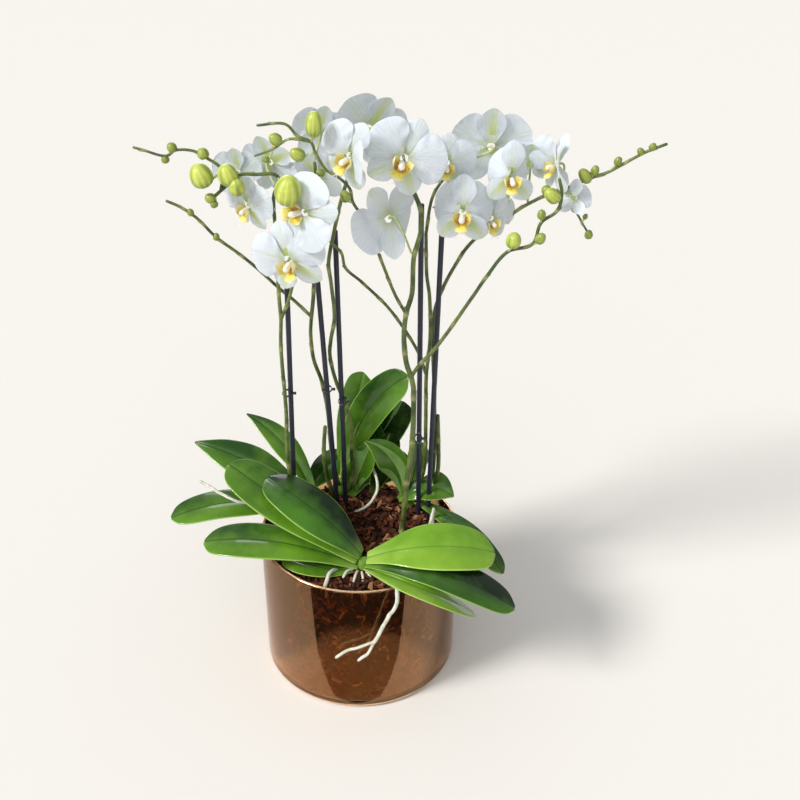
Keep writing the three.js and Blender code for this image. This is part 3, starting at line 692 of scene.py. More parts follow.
def clouded(name, roughness, scale, dark, light, depth, strength=1.0, coat=0.0, subsurface=0.0):
    """A finish of one clouded colour on a slightly uneven surface, and its cloud."""
    finish = Finish(name, roughness, coat, subsurface)
    cloud = finish.mottle(scale)
    finish.colour(blended(finish.tree, cloud, dark, light))
    finish.bump(cloud, depth, strength)
    return finish, cloud


def column_finish():
    finish, _ = clouded("column", 0.45, 260.0, (0.88, 0.87, 0.84), (0.8, 0.74, 0.62), 0.15, subsurface=0.3)
    return finish.material


def leaf_finish(name, dark, light, rib, margin, shade):
    """Smooth glossy upper side of a leaf: cloudy green, its far half darkened as painted shade, a midrib line
    darkened as painted shade in its groove, and a thin pale margin.
    """
    finish = Finish(name, 0.3, coat=0.4)
    finish.set({"Specular IOR Level": 0.25, "Coat Roughness": 0.07})
    tree = finish.tree
    along, sideways, edge = finish.blade_axes()
    cloud = finish.mottle(9.0)
    fibres = finish.streaks(along, sideways, 70.0)
    # Painted shade: the half of the blade away from the front is darkened by the shade amount.
    far_half_shade = sum_of(tree, "MULTIPLY", finish.attribute("tone"), -shade)
    tone = sum_of(tree, "ADD", sum_of(tree, "MULTIPLY", cloud, 0.7), sum_of(tree, "MULTIPLY", fibres, 0.08))
    tone = sum_of(tree, "ADD", sum_of(tree, "ADD", tone, far_half_shade), 0.3)
    tone = sum_of(tree, "MAXIMUM", sum_of(tree, "MINIMUM", tone, 1.0), 0.0)
    body = blended(tree, tone, dark, light)
    base = span(tree, along, 0.0, 0.2, 0.5, 0.0)
    body = blended(tree, base, body, margin)
    # Painted shade: a darker line along the midrib stands in for the shade in its groove.
    line = span(tree, sum_of(tree, "ABSOLUTE", sideways), 0.0015, 0.007, 0.7, 0.0)
    body = blended(tree, line, body, rib)
    rim = span(tree, edge, 0.955, 0.99, 0.0, 0.85)
    finish.colour(blended(tree, rim, body, margin))
    finish.roughness(span(tree, cloud, 0.0, 1.0, 0.24, 0.36))
    finish.bump(sum_of(tree, "ADD", cloud, sum_of(tree, "MULTIPLY", fibres, 0.12)), 0.5, 0.5)
    return finish.material


def leaf_back_finish():
    """Matter, paler underside of a leaf, with a raised midrib line."""
    finish = Finish("leaf_underside", 0.5, coat=0.1)
    tree = finish.tree
    along, sideways, _ = finish.blade_axes()
    cloud = finish.mottle(30.0)
    body = blended(tree, cloud, (0.09, 0.2, 0.045), (0.17, 0.31, 0.08))
    line = span(tree, sum_of(tree, "ABSOLUTE", sideways), 0.004, 0.02, 0.6, 0.0)
    finish.colour(blended(tree, line, body, (0.3, 0.42, 0.13)))
    finish.bump(finish.streaks(along, sideways, 60.0), 0.2, 0.5)
    return finish.material


def stem_finish():
    """Green stem with fine dark freckles and pale, slightly brown rings at its nodes."""
    finish = Finish("stem", 0.42, coat=0.1)
    tree = finish.tree
    cloud = finish.mottle(40.0)
    body = blended(tree, cloud, (0.03, 0.055, 0.012), (0.17, 0.22, 0.045))
    freckles = finish.specks(750.0, 0.35)
    body = blended(tree, sum_of(tree, "MULTIPLY", freckles, 0.7), body, (0.035, 0.03, 0.014))
    ring = finish.attribute("node")
    finish.colour(blended(tree, sum_of(tree, "MULTIPLY", ring, 0.8), body, (0.36, 0.36, 0.13)))
    finish.roughness(span(tree, cloud, 0.0, 1.0, 0.36, 0.5))
    finish.bump(cloud, 0.3, 0.6)
    return finish.material


def bract_finish():
    finish = Finish("bract", 0.6)
    along, sideways, _ = finish.blade_axes()
    streaks = finish.streaks(along, sideways, 30.0)
    finish.colour(blended(finish.tree, streaks, (0.42, 0.38, 0.16), (0.24, 0.27, 0.08)))
    finish.bump(streaks, 0.15)
    return finish.material


def bud_finish():
    """Yellow-green bud with paler ribs, darker seams and a green foot."""
    finish = Finish("bud", 0.4, coat=0.15, subsurface=0.15)
    tree = finish.tree
    along, around, seam = finish.blade_axes()
    foot = span(tree, along, 0.0, 0.55)
    body = blended(tree, foot, (0.15, 0.25, 0.025), (0.55, 0.62, 0.09))
    ribs = span(tree, sum_of(tree, "COSINE", sum_of(tree, "MULTIPLY", around, 12.0)), 0.1, 1.0, 0.0, 0.6)
    body = blended(tree, ribs, body, (0.74, 0.77, 0.24))
    body = blended(tree, sum_of(tree, "MULTIPLY", seam, 0.9), body, (0.12, 0.2, 0.02))
    young = sum_of(tree, "MULTIPLY", finish.attribute("tone"), 0.85)
    body = blended(tree, young, body, (0.13, 0.17, 0.025))
    cloud = finish.mottle(160.0)
    finish.colour(blended(tree, sum_of(tree, "MULTIPLY", cloud, 0.4), body, (0.28, 0.38, 0.05)))
    finish.bump(cloud, 0.2)
    return finish.material


def pedicel_finish():
    finish, _ = clouded("pedicel", 0.45, 90.0, (0.28, 0.38, 0.12), (0.55, 0.62, 0.34), 0.15, subsurface=0.15)
    return finish.material


def stake_finish():
    """Dark navy plastic sleeve with fine long draw lines."""
    finish = Finish("stake_plastic", 0.38)
    tree = finish.tree
    stretch = tree.nodes.new("ShaderNodeMapping")
    stretch.inputs["Scale"].default_value = (1, 1, 0.04)
    tree.links.new(finish.place, stretch.inputs["Vector"])
    lines = finish.group(MOTTLE, "Value", Place=stretch.outputs["Vector"], Scale=900.0)
    finish.colour(blended(tree, lines, (0.008, 0.009, 0.022), (0.024, 0.026, 0.052)))
    finish.roughness(span(tree, lines, 0.0, 1.0, 0.3, 0.48))
    finish.bump(lines, 0.12, 0.6)
    return finish.material


def clip_finish():
    finish, cloud = clouded("clip_plastic", 0.25, 300.0, (0.012, 0.014, 0.018), (0.04, 0.045, 0.05), 0.08,
                            coat=0.3)
    finish.roughness(span(finish.tree, cloud, 0.0, 1.0, 0.2, 0.35))
    return finish.material


def root_finish():
    """Silvery root skin with green showing through in patches and a chalky, pitted surface."""
    finish = Finish("aerial_root", 0.75)
    tree = finish.tree
    cloud = finish.mottle(110.0)
    body = blended(tree, cloud, (0.5, 0.52, 0.38), (0.78, 0.77, 0.68))
    pits = finish.specks(800.0, 0.5)
    finish.colour(blended(tree, sum_of(tree, "MULTIPLY", pits, 0.3), body, (0.36, 0.36, 0.26)))
    finish.bump(sum_of(tree, "SUBTRACT", cloud, pits), 0.35)
    return finish.material


def bark_finish():
    """Red-brown bark chips, each of its own tone, with a fibrous grain; the darker tones on the chips behind
    the glass and on the fill are painted shade.
    """
    finish = Finish("bark", 0.85)
    finish.set({"Specular IOR Level": 0.2})
    tree = finish.tree
    tone = finish.attribute("tone")
    grain = finish.mottle(240.0)
    dark = blended(tree, tone, (0.009, 0.003, 0.002), (0.12, 0.03, 0.013))
    light = blended(tree, tone, (0.05, 0.014, 0.007), (0.36, 0.125, 0.055))
    body = blended(tree, grain, dark, light)
    fleck = span(tree, tone, 0.86, 0.96)
    finish.colour(blended(tree, sum_of(tree, "MULTIPLY", fleck, 0.8), body, (0.52, 0.27, 0.13)))
    finish.bump(grain, 0.8)
    return finish.material


def glass_finish():
    """Amber glass with a copper lustre, which shows as a soft warm haze where the wall turns away."""
    finish, _ = clouded("lustre_glass", 0.05, 14.0, (0.88, 0.48, 0.22), (0.96, 0.6, 0.32), 0.12, 0.25)
    finish.set({
        "Metallic": 0.14,
        "Transmission Weight": 1.0,
        "IOR": 1.5,
        "Specular Tint": (1, 0.5, 0.2, 1),
        "Sheen Weight": 0.1,
        "Sheen Roughness": 0.4,
        "Sheen Tint": (1, 0.48, 0.22, 1),
    })
    return finish.material


def highlight_band_finish():
    """Bright copper metal bands at the rim and above the foot: painted highlights for the rim's bright line
    and the glint above the foot.
    """
    finish, _ = clouded("highlight_band", 0.18, 60.0, (0.85, 0.5, 0.28), (0.95, 0.68, 0.46), 0.08, 0.3)
    finish.set({"Metallic": 0.85})
    return finish.material


FINISHES = {
    "floor": floor_finish(),
    "card": card_finish(),
    "petal": petal_finish("petal", 0),
    "petal_back": petal_finish("petal_back", 0.25),
    "sepal": petal_finish("sepal", 0.2),
    "sepal_back": petal_finish("sepal_back", 1.0),
    "lip": lip_finish(),
    "column": column_finish(),
    **{name: leaf_finish(name, *greens) for name, greens in LEAF_GREENS.items()},
    "leaf_back": leaf_back_finish(),
    "stem": stem_finish(),
    "bract": bract_finish(),
    "bud": bud_finish(),
    "pedicel": pedicel_finish(),
    "stake": stake_finish(),
    "clip": clip_finish(),
    "root": root_finish(),
    "bark": bark_finish(),
    "glass": glass_finish(),
    "highlight_band": highlight_band_finish(),
}


# Modelling tools

class Piece:
    """One piece in the making: its mesh in millimetres, its finishes and the layers its patterns read."""

    def __init__(self, name, *finishes):
        self.name = name
        self.finishes = finishes
        self.bm = bmesh.new()
        self.blade = self.bm.verts.layers.float_vector.new("blade")
        self.node = self.bm.verts.layers.float.new("node")
        # Per-vertex tone: a bark chip's or bud's own tone, darker chips behind the glass as painted shade,
        # and a painted shade mask on blades.
        self.tone = self.bm.verts.layers.float.new("tone")
        self.dice = random.Random(name)

    def index(self, finish):
        return self.finishes.index(finish)

    def done(self, slot, *nodes, rounding=0, sharp=None):
        """Brings the piece to metres and hangs it on the frame in place of its CAD nodes."""
        bmesh.ops.scale(self.bm, vec=(MM, MM, MM), verts=self.bm.verts)
        mesh = bpy.data.meshes.new(self.name)
        self.bm.to_mesh(mesh)
        self.bm.free()
        for finish in self.finishes:
            mesh.materials.append(FINISHES[finish])
        mesh.shade_smooth()
        if sharp:
            mesh.set_sharp_from_angle(angle=math.radians(sharp))
        piece = add_object(self.name, mesh)
        if rounding:
            modifier = piece.modifiers.new("rounding", "SUBSURF")
            modifier.levels = rounding
            modifier.render_levels = rounding
        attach(piece, "root")
        if nodes:
            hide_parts(*nodes)


def share_at(outline, along):
    """The outline's half width share at a share of the length, on a smooth curve through its points."""
    last = next((i for i, (at, _) in enumerate(outline) if at >= along), len(outline) - 1)
    last = max(last, 1)
    (x0, y0), (x1, y1) = outline[last - 1], outline[last]
    before = outline[max(last - 2, 0)]
    after = outline[min(last + 1, len(outline) - 1)]
    reach = x1 - x0
    slope_in = (y1 - before[1]) / (x1 - before[0])
    slope_out = (after[1] - y0) / (after[0] - x0)
    t = (along - x0) / reach
    from_start = (2 * t ** 3 - 3 * t ** 2 + 1) * y0 + (t ** 3 - 2 * t ** 2 + t) * slope_in * reach
    to_end = (3 * t ** 2 - 2 * t ** 3) * y1 + (t ** 3 - t ** 2) * slope_out * reach
    return max(from_start + to_end, 0.02)


def smooth_route(points, spacing=SECTION_SPACING):
    """Points about spacing apart on a smooth curve through the given points."""
    knots = [Vector(point) for point in points]
    last = len(knots) - 1
    ways = [(knots[min(i + 1, last)] - knots[max(i - 1, 0)]).normalized() for i in range(last + 1)]
    route = [knots[0]]
    for i in range(last):
        reach = (knots[i + 1] - knots[i]).length
        handle = reach / 3
        count = max(2, round(reach / spacing)) + 1
        stretch = interpolate_bezier(
            knots[i], knots[i] + ways[i] * handle, knots[i + 1] - ways[i + 1] * handle, knots[i + 1], count)
        route.extend(stretch[1:])
    return route


def linked(verts, kind):
    """The edges or faces that meet at some vertices, each once, in the same order every time."""
    return list(dict.fromkeys(part for vert in verts for part in getattr(vert, kind)))


def add_rod(piece, route, radii, finish, sides=10, nodes=None):
    """A round rod: one ring of edges, extruded from point to point, with filled ends."""
    bm = piece.bm
    last = len(route) - 1
    ways = [(route[min(i + 1, last)] - route[max(i - 1, 0)]).normalized() for i in range(last + 1)]
    start = Matrix.Translation(route[0]) @ ways[0].to_track_quat("Z", "Y").to_matrix().to_4x4()
    ring = bmesh.ops.create_circle(bm, segments=sides, radius=radii[0], cap_ends=False, matrix=start)
    ring = ring["verts"]
    edges = linked(ring, "link_edges")
    faces = list(bmesh.ops.edgeloop_fill(bm, edges=edges)["faces"])
    for i in range(1, last + 1):
        grown = bmesh.ops.extrude_edge_only(bm, edges=edges)["geom"]
        ring = [part for part in grown if isinstance(part, bmesh.types.BMVert)]
        edges = [part for part in grown if isinstance(part, bmesh.types.BMEdge)]
        faces += [part for part in grown if isinstance(part, bmesh.types.BMFace)]
        turn = ways[i - 1].rotation_difference(ways[i]).to_matrix().to_4x4()
        size = Matrix.Scale(radii[i] / radii[i - 1], 4)
        step = Matrix.Translation(route[i]) @ turn @ size @ Matrix.Translation(-route[i - 1])
        bmesh.ops.transform(bm, matrix=step, verts=ring)
        for vert in ring:
            vert[piece.node] = nodes[i] if nodes else 0.0
    faces += bmesh.ops.edgeloop_fill(bm, edges=edges)["faces"]
    bmesh.ops.recalc_face_normals(bm, faces=faces)
    for face in faces:
        face.material_index = piece.index(finish)


def add_blade(piece, foot, middle, tip, face, width, outline, form, thickness, finishes, grid=(14, 10)):
    """A thin blade on a curved midrib: a leaf, petal, sepal, lip or bract. finishes are front and back."""
    bm = piece.bm
    foot, middle, tip = Vector(foot), Vector(middle), Vector(tip)
    control = middle * 2 - (foot + tip) / 2
    facing = Vector(face).normalized()
    length = (middle - foot).length + (tip - middle).length
    phase = piece.dice.uniform(0, 2 * math.pi)
    second_phase = piece.dice.uniform(0, 2 * math.pi)
    sheet = bmesh.ops.create_grid(bm, x_segments=grid[0], y_segments=grid[1], size=0.5)["verts"]
    for vert in sheet:
        share = vert.co.x + 0.5
        along = 0.4 * share + 0.6 * (0.5 - 0.5 * math.cos(math.pi * share))
        across = vert.co.y * 2
        tangent = ((control - foot) * (1 - along) + (tip - control) * along).normalized()
        side = facing.cross(tangent).normalized()
        normal = tangent.cross(side)
        half = width / 2 * share_at(outline, along)
        ripple = math.sin(along * form["ripples"] * 2 * math.pi + (phase if across > 0 else second_phase))
        rise = half * form["fold"] * abs(across) + half * form["curl"] * across ** 2
        rise += form["wave"] * ripple * across ** 2 * math.sin(math.pi * min(along * 1.3, 1)) ** 0.5
        rise -= form["groove"] * math.exp(-(across * half / 2.2) ** 2)
        on_midrib = foot * (1 - along) ** 2 + control * 2 * along * (1 - along) + tip * along ** 2
        vert.co = on_midrib + side * across * half + normal * rise
        vert[piece.blade] = (along, across * half / length, abs(across))
        # Painted shade mask: 1 on the half of the blade whose side points back (+Y), which the leaf finishes
        # darken.
        vert[piece.tone] = min(max(0.5 + across * side.y * 1.1, 0), 1)
    front = linked(sheet, "link_faces")
    before = set(bm.faces)
    grown = bmesh.ops.solidify(bm, geom=front, thickness=thickness)["geom"]
    for new in set(bm.faces) - before:
        new.material_index = piece.index(finishes[0])
    for new in front:
        new.material_index = piece.index(finishes[0])
    for new in grown:
        if isinstance(new, bmesh.types.BMFace):
            new.material_index = piece.index(finishes[1])


# Pot and bark

def arc(centre, radius, start, end, steps=6):
    """Points of a profile's round corner, in degrees from +X."""
    angles = [math.radians(start + (end - start) * i / steps) for i in range(steps + 1)]
    return [(centre[0] + radius * math.cos(a), centre[1] + radius * math.sin(a)) for a in angles]


def spin_profile(piece, profile, finish, steps):
    """Turns a profile of (radius, height) points once round the Z axis."""
    bm = piece.bm
    verts = [bm.verts.new((radius, 0, height)) for radius, height in profile]
    edges = [bm.edges.new(pair) for pair in zip(verts, verts[1:])]
    bmesh.ops.spin(bm, geom=verts + edges, cent=(0, 0, 0), axis=(0, 0, 1), angle=2 * math.pi, steps=steps,
                   use_merge=True)
    bmesh.ops.remove_doubles(bm, verts=bm.verts, dist=0.001)
    bmesh.ops.recalc_face_normals(bm, faces=bm.faces)
    for face in bm.faces:
        face.material_index = piece.index(finish)


def make_pot():
    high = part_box("glass_pot")[1]
    radius = high[0] / MM
    height = high[2] / MM
    inside = radius - POT_WALL
    rim = POT_WALL / 2
    profile = [(0, 0)]
    profile += arc((radius - POT_FOOT_ROUND, POT_FOOT_ROUND), POT_FOOT_ROUND, -90, 0)
    profile += arc((radius - rim, height - rim), rim, 0, 180, 8)
    profile += arc((inside - POT_FOOT_ROUND, POT_BOTTOM + POT_FOOT_ROUND), POT_FOOT_ROUND, 0, -90)
    profile += [(0, POT_BOTTOM)]
    piece = Piece("glass_pot_look", "glass", "highlight_band")
    spin_profile(piece, profile, "glass", POT_SPIN_STEPS)
    # Painted highlights: a bright copper band along the rim and one above the foot.
    for face in piece.bm.faces:
        middle = face.calc_center_median()
        at_rim = middle.z > height - HIGHLIGHT_BAND_RIM
        at_foot = middle.xy.length > inside and HIGHLIGHT_BAND_FOOT[0] < middle.z < HIGHLIGHT_BAND_FOOT[1]
        if at_rim or at_foot:
            face.material_index = piece.index("highlight_band")
    piece.done("pot_glass", "glass_pot", sharp=50)


def add_chip(piece, place, ways, share, darkness):
    """One jagged chip of bark; ways are its long, wide and deep directions, share its size."""
    sizes = [piece.dice.uniform(*limits) * share for limits in (CHIP_LENGTH, CHIP_WIDTH, CHIP_DEPTH)]
    turn = Matrix(ways).transposed().to_4x4()
    corners = bmesh.ops.create_cube(piece.bm, size=1)["verts"]
    tone = piece.dice.random() ** darkness
    for corner in corners:
        jitter = Vector([piece.dice.uniform(-0.22, 0.22) for _ in range(3)])
        local = corner.co + jitter
        corner.co = Vector([local[i] * sizes[i] for i in range(3)])
        corner[piece.tone] = min(max(tone + piece.dice.uniform(-0.1, 0.1), 0), 1)
    bmesh.ops.transform(piece.bm, matrix=Matrix.Translation(place) @ turn, verts=corners)


def chip_ways(piece, outward, lean):
    """Three square directions of a chip that lies flat against outward, leaning by up to lean degrees."""
    level = outward.cross(UP if abs(outward.z) < 0.9 else Vector((1, 0, 0))).normalized()
    spun = Matrix.Rotation(piece.dice.uniform(0, math.pi), 3, outward) @ level
    tilt = Matrix.Rotation(math.radians(piece.dice.uniform(-lean, lean)), 3, spun)
    deep = tilt @ outward
    return spun, deep.cross(spun), deep


def chamfer_chips(piece):
    bmesh.ops.bevel(piece.bm, geom=piece.bm.edges[:], offset=CHIP_CHAMFER, offset_type="OFFSET", segments=1,
                    profile=0.5, affect="EDGES", material=-1, clamp_overlap=True)


def make_bark():
    """Chips that lie against the glass, chips on the top, and the dark fill behind them, whose darkest bark
    tone is painted shade in the gaps between chips.
    """
    low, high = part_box("potting_bark")
    radius = high[0] / MM
    bottom = low[2] / MM
    top = high[2] / MM - MOUND_HEIGHT

    against_glass = Piece("bark_against_glass", "bark")
    for _ in range(SIDE_CHIPS):
        angle = against_glass.dice.uniform(0, 2 * math.pi)
        outward = Vector((math.cos(angle), math.sin(angle), 0))
        place = outward * (radius - against_glass.dice.uniform(*SIDE_CHIP_INSET))
        place.z = against_glass.dice.uniform(bottom + 4, top - 2)
        # Painted shade: chips against the glass take darker tones than those on top, for the shade behind the
        # glass.
        add_chip(against_glass, place, chip_ways(against_glass, outward, lean=24), share=0.8, darkness=2.2)
    chamfer_chips(against_glass)
    against_glass.done("bark", sharp=30)

    on_top = Piece("bark_on_top", "bark")
    for _ in range(TOP_CHIPS):
        angle = on_top.dice.uniform(0, 2 * math.pi)
        out = (radius - FILL_INSET) * math.sqrt(on_top.dice.random())
        height = top + (1 - out / radius) * MOUND_HEIGHT + on_top.dice.uniform(-3, 2.5)
        place = Vector((out * math.cos(angle), out * math.sin(angle), height))
        add_chip(on_top, place, chip_ways(on_top, UP, lean=40), share=0.9, darkness=1.4)
    chamfer_chips(on_top)
    on_top.done("bark", sharp=30)

    # Painted shade: the fill keeps the darkest bark tone, for the shade in the gaps between chips.
    fill = Piece("bark_fill", "bark")
    core = radius - FILL_INSET
    outline = [(0, bottom + 1), (core, bottom + 1), (core, top - 2), (core * 0.6, top), (0, top + 1)]
    spin_profile(fill, outline, "bark", 48)
    fill.done("bark", "potting_bark", sharp=50)


# Stakes and clips

def make_stake(name, foot, top):
    start, end = Vector(foot), Vector(top)
    down = (start - end) / (end.z - start.z)
    bottom = start + down * (start.z - STAKE_FOOT_Z)
    straight = [bottom.lerp(end, i / STAKE_STEPS) for i in range(STAKE_STEPS + 1)]
    tip = end - down * STAKE_RADIUS * 0.3
    dome = [end.lerp(tip, 0.5), tip]
    piece = Piece(f"{name}_look", "stake")
    radii = [STAKE_RADIUS] * len(straight) + [STAKE_RADIUS * 0.85, STAKE_RADIUS * 0.4]
    add_rod(piece, straight + dome, radii, "stake", 24)
    piece.done("stake_plastic", name, sharp=60)


def add_clip(piece, centre, half_width, half_depth):
    """A spring clip: a flat loop round stem and stake, and two finger tabs."""
    bm = piece.bm
    before = set(bm.verts)
    band = [(1 + 0.08 * math.cos(a), 1.3 * math.sin(a)) for a in (math.radians(45 * i) for i in range(8))]
    verts = [bm.verts.new((out, 0, height)) for out, height in band]
    edges = [bm.edges.new((verts[i], verts[(i + 1) % 8])) for i in range(8)]
    bmesh.ops.spin(bm, geom=verts + edges, cent=(0, 0, 0), axis=(0, 0, 1), angle=2 * math.pi, steps=32,
                   use_merge=True)
    loop = [vert for vert in bm.verts if vert not in before]
    bmesh.ops.remove_doubles(bm, verts=loop, dist=0.001)
    loop = [vert for vert in bm.verts if vert not in before]
    bmesh.ops.scale(bm, vec=(half_width, half_depth, 1), verts=loop)
    bmesh.ops.translate(bm, vec=centre, verts=loop)
    for lean in (-24, 24):
        tab = bmesh.ops.create_cube(bm, size=1)["verts"]
        bmesh.ops.scale(bm, vec=(5, 1.1, 3.2), verts=tab)
        place = Matrix.Translation(Vector(centre) + Vector((half_width + 1.8, 0, 0)))
        turn = Matrix.Rotation(math.radians(lean), 4, "Z")
        bmesh.ops.transform(bm, matrix=place @ turn, verts=tab)
        edges = linked(tab, "link_edges")
        bmesh.ops.bevel(bm, geom=edges, offset=0.45, offset_type="OFFSET", segments=2, profile=0.5,
                        affect="EDGES", material=-1)
    bmesh.ops.recalc_face_normals(bm, faces=bm.faces)


def make_clip(name):
    low, high = (Vector(corner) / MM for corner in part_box(name))
    centre = (low + high) / 2
    piece = Piece(f"{name}_look", "clip")
    add_clip(piece, centre, (high.x - low.x) * 0.38, (high.y - low.y) / 2 - 0.5)
    piece.done("clip_plastic", name, sharp=40)


# Spikes

def square_side(way):
    """A direction square to way, as near to +X as it can be."""
    side = Vector((1, 0, 0)) - way * way.x
    return side.normalized() if side.length > 0.2 else way.orthogonal().normalized()


def add_stem(piece, radius, points):
    """A stem that tapers, swells at its nodes, and carries a small bract at each."""
    route = smooth_route(points)
    walked = [0.0]
    for here, there in zip(route, route[1:]):
        walked.append(walked[-1] + (there - here).length)
    whole = walked[-1]
    spacing = THICK_NODE_SPACING if radius > THICK_STEM else THIN_NODE_SPACING
    count = max(1, int(whole / spacing))
    joints = [whole * (i + piece.dice.uniform(0.35, 0.65)) / count for i in range(count)]
    rings = [max(math.exp(-((at - joint) / 2.6) ** 2) for joint in joints) for at in walked]
    radii = [radius * (1.04 - 0.22 * at / whole) * (1 + 0.2 * ring) for at, ring in zip(walked, rings)]
    route.append(route[-1] + (route[-1] - route[-2]).normalized() * radius * 0.5)
    radii.append(radii[-1] * 0.55)
    rings.append(rings[-1])
    add_rod(piece, route, radii, "stem", 12, rings)
    hand = 1
    for joint in joints:
        at = min(range(len(walked)), key=lambda i: abs(walked[i] - joint))
        if 0 < at < len(walked) - 1 and whole > SHORTEST_WITH_BRACTS:
            add_bract(piece, route[at], (route[at + 1] - route[at - 1]).normalized(), radii[at], hand)
        hand = -hand


def add_bract(piece, place, way, radius, hand):
    """The small pointed scale that wraps a node."""
    side = square_side(way) * hand
    reach = 2.2 + radius * 2.6
    foot = place + side * radius * 0.86 - way * 1.2
    add_blade(piece, foot, foot + way * reach * 0.5 + side * 0.35, foot + way * reach + side * 0.5, side,
              radius * 2.1, BRACT_OUTLINE, BRACT_FORM, 0.35, ("bract", "bract"), (4, 4))


def add_bud(piece, centre, radius, length_share, stalk_foot):
    """An egg of three sepals that meet in shallow seams, on its stalk."""
    bm = piece.bm
    centre, foot = Vector(centre), Vector(stalk_foot)
    if radius < SMALL_BUD:
        centre = centre.lerp(foot, SMALL_BUD_PULL)
        radius = radius * SMALL_BUD_SIZE
    away = (centre - foot).normalized() if (centre - foot).length > 2 else UP
    axis = (UP * 0.8 + away).normalized() if radius < 8 else (UP + away * 0.35).normalized()
    turn = axis.to_track_quat("Z", "Y").to_matrix().to_4x4()
    egg = bmesh.ops.create_uvsphere(bm, u_segments=24, v_segments=14, radius=1)["verts"]
    for vert in egg:
        angle = math.atan2(vert.co.y, vert.co.x)
        height = vert.co.z
        seam = (1 - abs(math.cos(1.5 * angle))) ** 6 * (1 - abs(height)) ** 0.3
        barrel = 1
        if abs(height) < 1:
            barrel = (1 - abs(height) ** 2.5) ** 0.4 / max(math.sqrt(1 - height ** 2), 0.05)
        girth = radius * (1 - 0.08 * seam) * (1 - 0.12 * height) * (1 + 0.5 * (barrel - 1))
        vert[piece.tone] = min(max((9 - radius) / 5, 0), 1)
        vert[piece.blade] = ((height + 1) / 2, angle, seam)
        vert.co = Vector((vert.co.x * girth, vert.co.y * girth, height * radius * length_share))
    bmesh.ops.transform(bm, matrix=Matrix.Translation(centre) @ turn, verts=egg)
    for face in linked(egg, "link_faces"):
        face.material_index = piece.index("bud")
    base = centre - axis * radius * length_share * 0.8
    if (centre - foot).length > radius * 0.5:
        stalk = smooth_route((foot, foot.lerp(base, 0.5) - UP * 0.5, base), 2)
        add_rod(piece, stalk, [BUD_STALK_RADIUS] * len(stalk), "pedicel", 8)


def make_spike(name, spike):
    piece = Piece(f"{name}_look", "stem", "bract", "bud", "pedicel", "leaf_fresh")
    if "crown" in spike:
        x, y, bottom, top = CROWNS[spike["crown"]]
        steps = len(CROWN_RADII)
        sheath = [Vector((x, y, bottom + (top - bottom) * i / (steps - 1))) for i in range(steps)]
        add_rod(piece, sheath, CROWN_RADII, "leaf_fresh", 16)
    for radius, points in spike["routes"]:
        add_stem(piece, radius, points)
    for bud in spike["buds"]:
        add_bud(piece, *bud)
    piece.done("stems", name, sharp=70)


# Leaves

def make_leaf(name, foot, middle, tip, face, width, fold, green, *nodes):
    piece = Piece(f"{name}_look", f"leaf_{green}", "leaf_back")
    form = {**LEAF_FORM, "fold": fold}
    outline = POINTED_LEAF_OUTLINE if name in POINTED_LEAVES else LEAF_OUTLINE
    add_blade(piece, foot, middle, tip, face, width, outline, form, LEAF_THICKNESS,
              (f"leaf_{green}", "leaf_back"), LEAF_GRID)
    piece.done("leaves", *nodes, rounding=1)


# Flowers

def flower_axes(turn, tilt, roll):
    """The way a flower faces, its top, and its right-hand side as a viewer in front of it sees them."""
    turn, tilt, roll = (math.radians(angle) for angle in (turn, tilt, roll))
    flat = math.cos(tilt)
    face = Vector((math.sin(turn) * flat, -math.cos(turn) * flat, math.sin(tilt)))
    level = (UP - face * face.z).normalized()
    top = level * math.cos(roll) + level.cross(face) * math.sin(roll)
    return face, top, top.cross(face)


def add_tepal(piece, centre, axes, kind, angle, lift, size, finishes):
    face, top, right = axes
    turn = math.radians(angle)
    out = top * math.cos(turn) + right * math.sin(turn)
    width = kind["width"] * size
    reach = kind["length"] * size
    rise = (kind["droop"] + lift) * size
    flat = math.sqrt(max(reach ** 2 - rise ** 2, 0.3 * reach ** 2))
    foot = centre + out * TEPAL_START * size
    middle = centre + out * flat * 0.54 + face * (rise * 0.45 + 2 * size)
    tip = centre + out * flat + face * rise
    add_blade(piece, foot, middle, tip, face, width, kind["outline"], kind["form"], TEPAL_THICKNESS,
              finishes, TEPAL_GRID)


def add_lip(piece, throat, axes, size):
    """The lip: a keeled middle lobe with two tendrils, two side lobes, and the column over them."""
    face, top, right = axes
    size = size * LIP_SHARE
    foot = throat - top * 3 * size
    middle = throat - top * 8 * size + face * 8 * size
    tip = throat - top * 12.5 * size + face * 9 * size
    add_blade(piece, foot, middle, tip, face + top, 12 * size, LIP_OUTLINE, LIP_FORM, 0.5, ("lip", "lip"),
              (8, 6))
    for hand in (-1, 1):
        out = right * hand
        add_blade(piece, throat - top * 3 * size + out * 2 * size,
                  throat - top * 1 * size + out * 7 * size + face * 4 * size,
                  throat + top * 4 * size + out * 7.5 * size + face * 8 * size,
                  face * 0.3 - out, 11 * size, LOBE_OUTLINE, LOBE_FORM, 0.45, ("lip", "lip"), (6, 6))
        tendril = smooth_route((throat - top * 12 * size + face * 9 * size,
                                throat - top * 15.5 * size + face * 10 * size + out * 3 * size,
                                throat - top * 13.5 * size + face * 12 * size + out * 6 * size), 1.6)
        add_rod(piece, tendril, [0.42 - 0.25 * i / len(tendril) for i in range(len(tendril))], "column", 6)
    nose = [throat + face * at * size - top * 0.02 * at ** 2 * size for at in (-1, 2, 5, 8, 9.6, 10.4)]
    add_rod(piece, nose, [radius * size for radius in (2.3, 2.5, 2.3, 2.8, 2.2, 0.9)], "column", 12)
    callus = bmesh.ops.create_icosphere(piece.bm, subdivisions=2, radius=1.7 * size)["verts"]
    bmesh.ops.scale(piece.bm, vec=(1.3, 0.8, 0.8), verts=callus)
    bmesh.ops.translate(piece.bm, vec=throat - top * 4 * size + face * 5.5 * size, verts=callus)
    for lump in linked(callus, "link_faces"):
        lump.material_index = piece.index("lip")


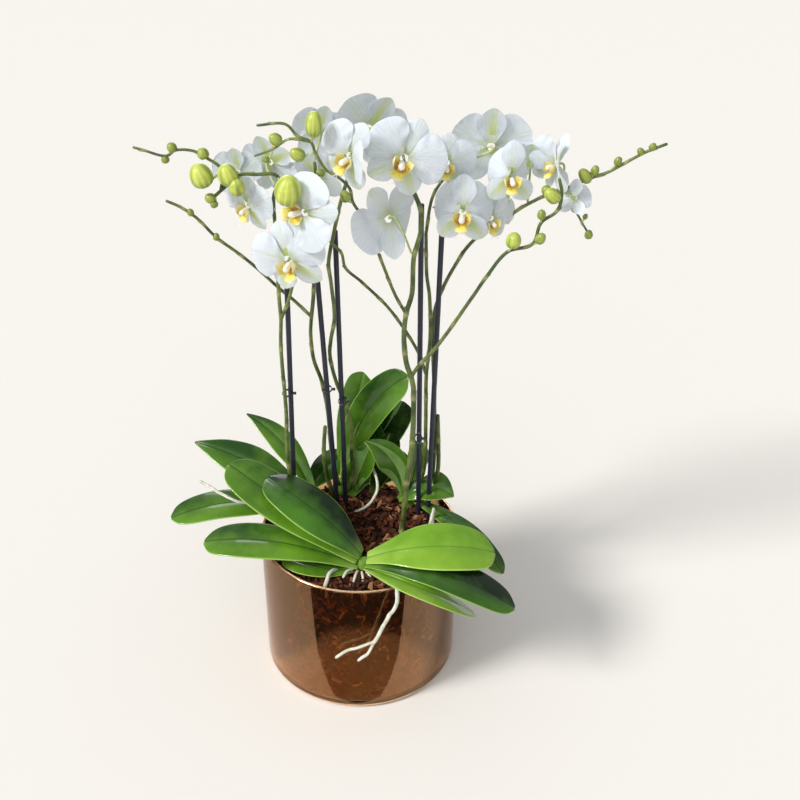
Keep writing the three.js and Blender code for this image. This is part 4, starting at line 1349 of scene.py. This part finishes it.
def make_flower(name, place, facing, roll, size, lifts, stalk_foot):
    piece = Piece(f"{name}_look", "petal", "petal_back", "sepal", "sepal_back", "lip", "column", "pedicel")
    centre = Vector(place)
    axes = flower_axes(*facing, roll)
    face = axes[0]
    front = centre + face * 2.5 * size
    sepal, petal = ("sepal", "sepal_back"), ("petal", "petal_back")
    add_tepal(piece, centre, axes, DORSAL_SEPAL, 0, 0, size, sepal)
    for hand, lift in zip((-1, 1), lifts):
        add_tepal(piece, centre, axes, LATERAL_SEPAL, hand * LATERAL_ANGLE, 0, size, sepal)
        add_tepal(piece, front, axes, PETAL, hand * PETAL_ANGLE, lift, size, petal)
    add_lip(piece, centre + face * 1.5 * size - axes[1] * LIP_DROP * size, axes, size)
    stalk = smooth_route((centre + face * size, centre - face * 12 * size, Vector(stalk_foot)), 3)
    radii = [PEDICEL_RADIUS * (1.5 if i < 2 else 1) for i in range(len(stalk))]
    add_rod(piece, stalk, radii, "pedicel", 8)
    piece.done("petals", name, rounding=1)


# Aerial roots

def make_root(name, strands, *nodes):
    noise.seed_set(ROOT_SEED)
    piece = Piece(f"{name}_look", "root")
    for radius, points in strands:
        route = smooth_route(points, 2.5)
        for i, point in enumerate(route[1:-1], 1):
            route[i] = point + noise.noise_vector(point * 0.09) * ROOT_WANDER
        radii = [radius * (1 + 0.14 * noise.noise(point * 0.16)) for point in route]
        route.append(route[-1] + (route[-1] - route[-2]).normalized() * radius)
        radii.append(radius * 0.4)
        add_rod(piece, route, radii, "root", 12)
    piece.done("aerial_roots", *nodes, sharp=80)


set_camera()
set_studio()
lay_floor(FINISHES["floor"])
lay_card(FINISHES["card"])
make_pot()
make_bark()
for name, (foot, top) in STAKES.items():
    make_stake(name, foot, top)
for name in CLIPS:
    make_clip(name)
for name, spike in SPIKES.items():
    make_spike(name, spike)
for name, leaf in LEAVES.items():
    make_leaf(name, *leaf, name)
for name, leaf in SHADE_LEAVES.items():
    make_leaf(name, *leaf)
for name, flower in FLOWERS.items():
    make_flower(name, *flower)
for name, strands in ROOTS.items():
    make_root(name, strands, name)
make_root("front_crown_root_tips", ROOT_TIPS)
make_root("right_root", RIGHT_ROOT)
